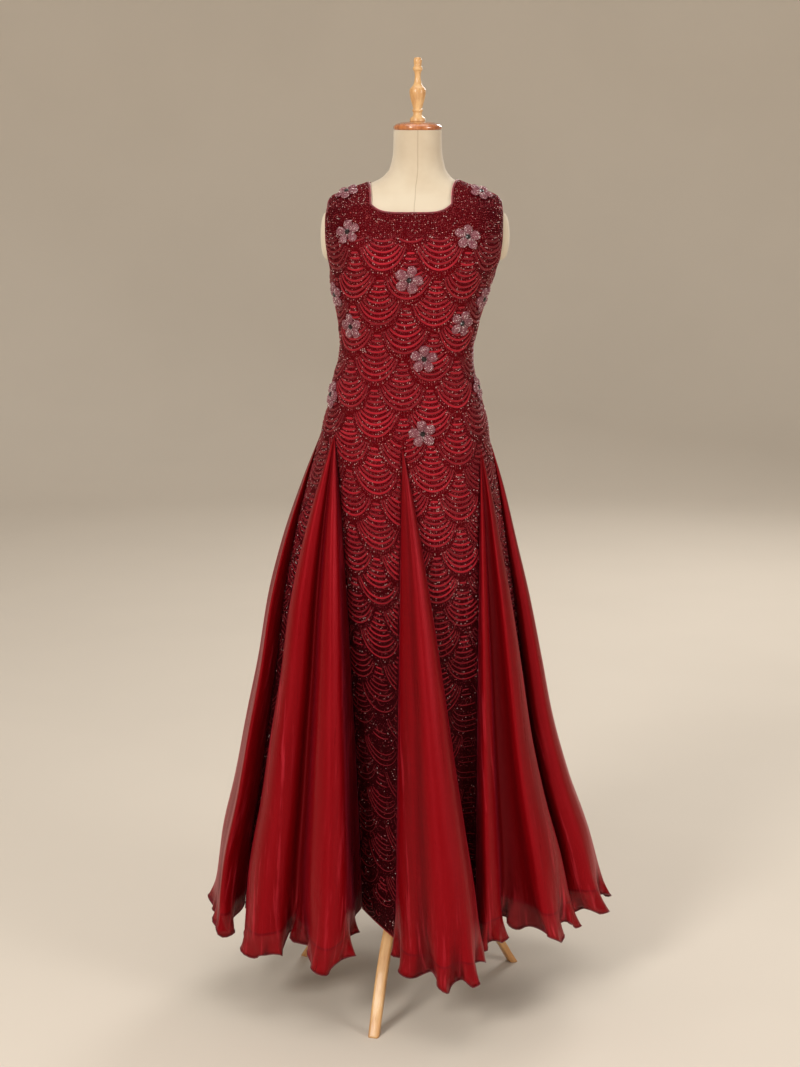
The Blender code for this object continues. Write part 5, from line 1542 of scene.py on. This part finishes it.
class GownLace(bpy.types.Operator):
    """Make the three lace pieces with their satin cords and seed beads"""

    bl_idname = "gown.lace"
    bl_label = "Beaded lace"

    def execute(self, context):
        sizes = context.scene.gown_sizes
        shades = context.scene.gown_colours
        ground = lace_material(shades)
        satin = cord_material(shades)
        glass = bead_material(shades)
        for seed, (name, body) in enumerate(LACE.items()):
            patches = lace_patches(name)
            cloth = Pile()
            for part in patches:
                down = part["down"][:, None] + 0 * part["across"]
                cloth.grid(part["points"], np.stack([part["across"], down], axis=-1))
            made = dressed(build(name + "_net", cloth, [ground], weld=1e-5), [name])
            thicken(made, sizes.cloth)
            across = (min(float(part["across"].min()) for part in patches),
                      max(float(part["across"].max()) for part in patches))
            deep = max(float(part["down"][-1]) for part in patches)
            middle, top = scallops(across, deep, sizes, seed + 11)
            pile = Pile()
            self.scales(pile, patches, sizes, middle, top, seed)
            self.curls(pile, patches, sizes, across, deep, seed)
            for part in patches[1:1 + len(body["strips"])]:
                tube(pile, part["points"][-1], 0.0014, 5, tone=0.3)
            trim = dressed(build(name + "_cords", pile, [satin]))
            pile = Pile()
            for share, found in self.sewn(patches, sizes, middle, top, seed, across, deep):
                beads(pile, *found, sizes.bead_radius * share, seed + 3)
            sprinkled = dressed(build(name + "_beads", pile, [glass]))
        return {"FINISHED"}

    def scales(self, pile, patches, sizes, middle, top, seed):
        """The scallops' nested cords, widest at the middle of each swag, with painted light there and
        painted shade at its ends. Toward the hem they are sparser, narrower and darker, toward the sides
        darker by painted shade, and toward the yoke darker."""
        chance = np.random.default_rng(seed + 5)
        shares = np.arange(1, sizes.swags) / sizes.swags + SWAG_DROP
        across, down, kept, full = swags(middle, top, shares, sizes, CORD_POINTS)
        lowest = down.max(axis=2)
        sparse = rising(lowest, *THIN)
        rare = chance.uniform(size=sparse.shape) > 0.3 * sparse ** 2
        kept = kept & (rare[..., None] & (full > 0.2 * sparse[..., None]))
        kept = kept & (down > sizes.yoke_depth)
        point, normal, keep = carried(patches, across, down, kept)
        # Painted shade toward the sides.
        beside = rising(np.abs(across[..., CORD_POINTS // 2]), *SIDE_SHADE)
        yoke = np.clip((YOKE_DARKER[0] - lowest) / YOKE_DARKER[1], 0, 1)
        darkening = np.clip(0.6 * sparse + 0.7 * beside + 0.6 * yoke, 0, 1)
        tone = chance.uniform(0.30, 1.0, sparse.shape) * (1 - darkening)
        # Painted light at each swag's middle, painted shade at its ends.
        tone = tone[..., None] * (0.25 + 0.75 * full ** 1.5)
        wide = sizes.cord_width * (0.28 + 0.72 * full) * (1 - 0.62 * sparse[..., None])
        cords(pile, point, normal, keep, wide.reshape(-1, CORD_POINTS), sizes.cord_height,
              tone.reshape(-1, CORD_POINTS))

    def curls(self, pile, patches, sizes, across, deep, seed):
        """Small curled sprigs: at the yoke and the shoulders fine short arcs, and low on the strips
        open spirals. Each is an arc whose radius shrinks along its turn."""
        chance = np.random.default_rng(seed + 40)
        wide = across[1] - across[0]
        for count, top, bottom, small, large, turns, width in (
                (300, -0.12, sizes.yoke_depth + 0.012, 0.004, 0.009, 2.2, 0.24),
                (int(110 * wide / 0.5), 0.74, deep, 0.007, 0.016, 4.2, 0.22)):
            x = chance.uniform(across[0], across[1], count)[:, None]
            y = chance.uniform(top, bottom, count)[:, None]
            start = chance.uniform(0, math.tau, count)[:, None]
            radius = chance.uniform(small, large, count)[:, None]
            s = np.linspace(0, 1, 14)[None, :]
            way = np.where(chance.uniform(size=count) > 0.5, 1.0, -1.0)[:, None]
            turn = start + way * turns * s
            reach = radius * (1 - 0.55 * s)
            u = x + reach * np.cos(turn)
            v = y + reach * np.sin(turn)
            point, normal, keep = carried(patches, u, v, np.ones(u.shape, bool))
            cords(pile, point, normal, keep, sizes.cord_width * width, sizes.cord_height * 0.7,
                  chance.uniform(0.0, 0.3, count))

    def sewn(self, patches, sizes, middle, top, seed, across, deep):
        """Seed beads: a row between each two cords of a scallop, and loose beads over the rest."""
        chance = np.random.default_rng(seed + 70)
        between = (np.arange(1, sizes.swags - 1) + 0.5) / sizes.swags + SWAG_DROP
        shares = np.concatenate([between - 0.017, between + 0.017, [0.955, 0.98, 1.005]])
        u, v, kept, _ = swags(middle, top, shares, sizes, BEAD_POINTS)
        thin = np.clip((v - 0.66) / 0.30, 0, 0.8)
        kept = kept & (v > sizes.yoke_depth - 0.004) & (chance.uniform(size=v.shape) > thin)
        u = u + chance.normal(0, 0.0004, u.shape)
        v = v + chance.normal(0, 0.0005, v.shape)
        one, one_out, keep = carried(patches, u, v, kept)
        count = int(7200 * (across[1] - across[0]))
        u = chance.uniform(across[0], across[1], count)
        v = chance.uniform(0.05, deep, count)
        rows = np.arange(-0.125, sizes.yoke_depth + 0.004, 0.0038)
        stitches = np.arange(across[0], across[1], 0.0034)
        yoke_u, yoke_v = [both.ravel() for both in np.meshgrid(stitches, rows)]
        u = np.concatenate([u, yoke_u + chance.normal(0, 0.0005, yoke_u.shape)])
        yoke_v = yoke_v + 0.0009 * np.sin(yoke_u * 230) + chance.normal(0, 0.0003, yoke_v.shape)
        v = np.concatenate([v, yoke_v])
        two, two_out, found = at_pattern(patches, u, v)
        return (1.0, (one[keep], one_out[keep])), (0.85, (two[found], two_out[found]))


class GownGodets(bpy.types.Operator):
    """Make the eight organza godets with their corded fish-line hems"""

    bl_idname = "gown.godets"
    bl_label = "Organza godets"

    def execute(self, context):
        sizes = context.scene.gown_sizes
        shades = context.scene.gown_colours
        organza = organza_material(shades)
        corded = binding_material("hem_cord", shades.hem_cord)
        for piece in HEM:
            if piece[1] != "godet":
                continue
            front = piece[0].startswith("godet_front")
            rows, columns = (104, 92) if front else (84, 64)
            points = organza_points(piece, rows, columns, sizes.ruffle)
            hem = float(run_lengths(points[-1], 0)[-1])
            fall = run_lengths(points, 0)[:, columns // 2]
            share = (fall / fall[-1])[:, None]
            u = np.linspace(-0.5, 0.5, columns)[None, :] * hem * (0.3 + 0.7 * share)
            above = (fall[-1] - fall)[:, None] / 0.1 + 0 * u
            uv = np.stack([u, fall[:, None] + 0 * u], axis=-1)
            made = surface(piece[0] + "_organza", points, uv, organza, "organza", [piece[0]],
                           tone=np.clip(above, 0, 1).ravel())
            # The fold attribute, by which the organza paints shade in the folds and light on their crests.
            folds = made.data.attributes.new("fold", "FLOAT", "POINT")
            folds.data.foreach_set("value", fold_of(points).astype(np.float32).ravel())
            thicken(made, sizes.cloth * 0.6)
            pile = Pile()
            tube(pile, points[-1], 0.0012, 5)
            cord = dressed(build(piece[0] + "_hem_cord", pile, [corded]))
        return {"FINISHED"}


class GownBindings(bpy.types.Operator):
    """Make the bound edges of the neck and the armholes"""

    bl_idname = "gown.bindings"
    bl_label = "Bindings"

    def execute(self, context):
        shades = context.scene.gown_colours
        satin = binding_material("satin_binding", shades.binding)
        lining = binding_material("lining_edge", shades.edging)
        loops = edge_loops()
        for name, node, middle in BINDINGS:
            path, normal = loops[name]
            pile = Pile()
            centre, away, square = band(pile, path, normal, middle, 0.0040, 0.0020)
            if name == "neck":
                tube(pile, centre + away * 0.0019 - square * 0.0003, 0.0007, 6, closed=True, finish=1,
                     up=square)
            dressed(build(name + "_bound", pile, [satin, lining], WELD), [node])
        return {"FINISHED"}


class GownFlowers(bpy.types.Operator):
    """Make the thirteen beaded flowers"""

    bl_idname = "gown.flowers"
    bl_label = "Beaded flowers"

    def execute(self, context):
        shades = context.scene.gown_colours
        finishes = [petal_material(shades), silver_material(shades), crystal_material()]
        for row in FLOWERS:
            flower(*row, finishes)
        return {"FINISHED"}


class GownStage(bpy.types.Operator):
    """Make the plain floor and backdrop, the soft lights and the camera"""

    bl_idname = "gown.stage"
    bl_label = "Stage"

    def execute(self, context):
        shades = context.scene.gown_colours
        w = material("studio_paper")
        soft = w.noise(w.object_place(), 1.3, 2.0)
        colour = w.mix(w.ramp(soft, 0.35, 0.7), solid(shades.floor), solid(0.98 * c for c in shades.floor))
        paper = w.finish(colour, w.ramp(soft, 0.3, 0.7, 0.8, 0.9))
        bend = np.concatenate([[0, 0], np.linspace(0, math.pi / 2, 16), [math.pi / 2]])
        reach = np.concatenate([[0, 3.0], FLOOR_REACH + FLOOR_BEND * np.sin(bend[2:-1]),
                                [FLOOR_REACH + FLOOR_BEND]])
        height = np.concatenate([[0, 0], FLOOR_BEND * (1 - np.cos(bend[2:-1])), [6.5]])
        turn = np.linspace(0, math.tau, 65)
        points = np.stack([reach[::-1, None] * np.cos(turn), reach[::-1, None] * np.sin(turn),
                           height[::-1, None] + 0 * turn], axis=-1)
        pile = Pile()
        pile.grid(points - SHIFT, None)
        floor = build("studio_floor", pile, [paper], weld=1e-5)
        for name, place, aim, size, power, tint in LIGHTS:
            light = bpy.data.lights.new(name, "AREA")
            light.shape = "DISK"
            light.size = size
            light.energy = power
            light.color = tint
            lamp = linked(name, light)
            lamp.location = place
            aimed = np.array(aim, float) - np.array(place, float)
            lamp.rotation_mode = "QUATERNION"
            lamp.rotation_quaternion = mathutils.Vector(aimed).to_track_quat("-Z", "Y")
        world = bpy.data.worlds.new("studio")
        world.use_nodes = True
        sky = world.node_tree.nodes["Background"].inputs
        sky["Color"].default_value = (0.86, 0.83, 0.79, 1.0)
        sky["Strength"].default_value = 0.45
        context.scene.world = world
        view = bpy.data.cameras.new("photo_view")
        view.lens = FOCAL_LENGTH
        view.sensor_width = 36.0
        view.clip_end = 60.0
        camera = linked("photo_view", view)
        camera.location = CAMERA_PLACE
        camera.rotation_euler = (math.radians(90 - CAMERA_DOWN), 0.0, 0.0)
        context.scene.camera = camera
        context.scene.view_settings.view_transform = "Standard"
        return {"FINISHED"}


class GownPanel(bpy.types.Panel):
    """The gown's sizes, colours and pieces."""

    bl_idname = "VIEW3D_PT_gown"
    bl_label = "Net gown"
    bl_space_type = "VIEW_3D"
    bl_region_type = "UI"
    bl_category = "Gown"

    def draw(self, context):
        layout = self.layout
        for made in PIECES:
            layout.operator(made.bl_idname)
        for label, held in (("Sizes", context.scene.gown_sizes), ("Colours", context.scene.gown_colours)):
            box = layout.box()
            box.label(text=label)
            for key in held.__class__.__annotations__:
                box.prop(held, key)


PIECES = (GownForm, GownStand, GownLace, GownGodets, GownBindings, GownFlowers, GownStage)
CLASSES = (GownSizes, GownColours) + PIECES + (GownPanel,)


def register():
    for made in CLASSES:
        bpy.utils.register_class(made)
    bpy.types.Scene.gown_sizes = bpy.props.PointerProperty(type=GownSizes)
    bpy.types.Scene.gown_colours = bpy.props.PointerProperty(type=GownColours)


def unregister():
    del bpy.types.Scene.gown_colours
    del bpy.types.Scene.gown_sizes
    for made in reversed(CLASSES):
        bpy.utils.unregister_class(made)


def main():
    register()
    bpy.ops.gown.form()
    bpy.ops.gown.stand()
    bpy.ops.gown.lace()
    bpy.ops.gown.godets()
    bpy.ops.gown.bindings()
    bpy.ops.gown.flowers()
    bpy.ops.gown.stage()


if __name__ == "__main__":
    main()
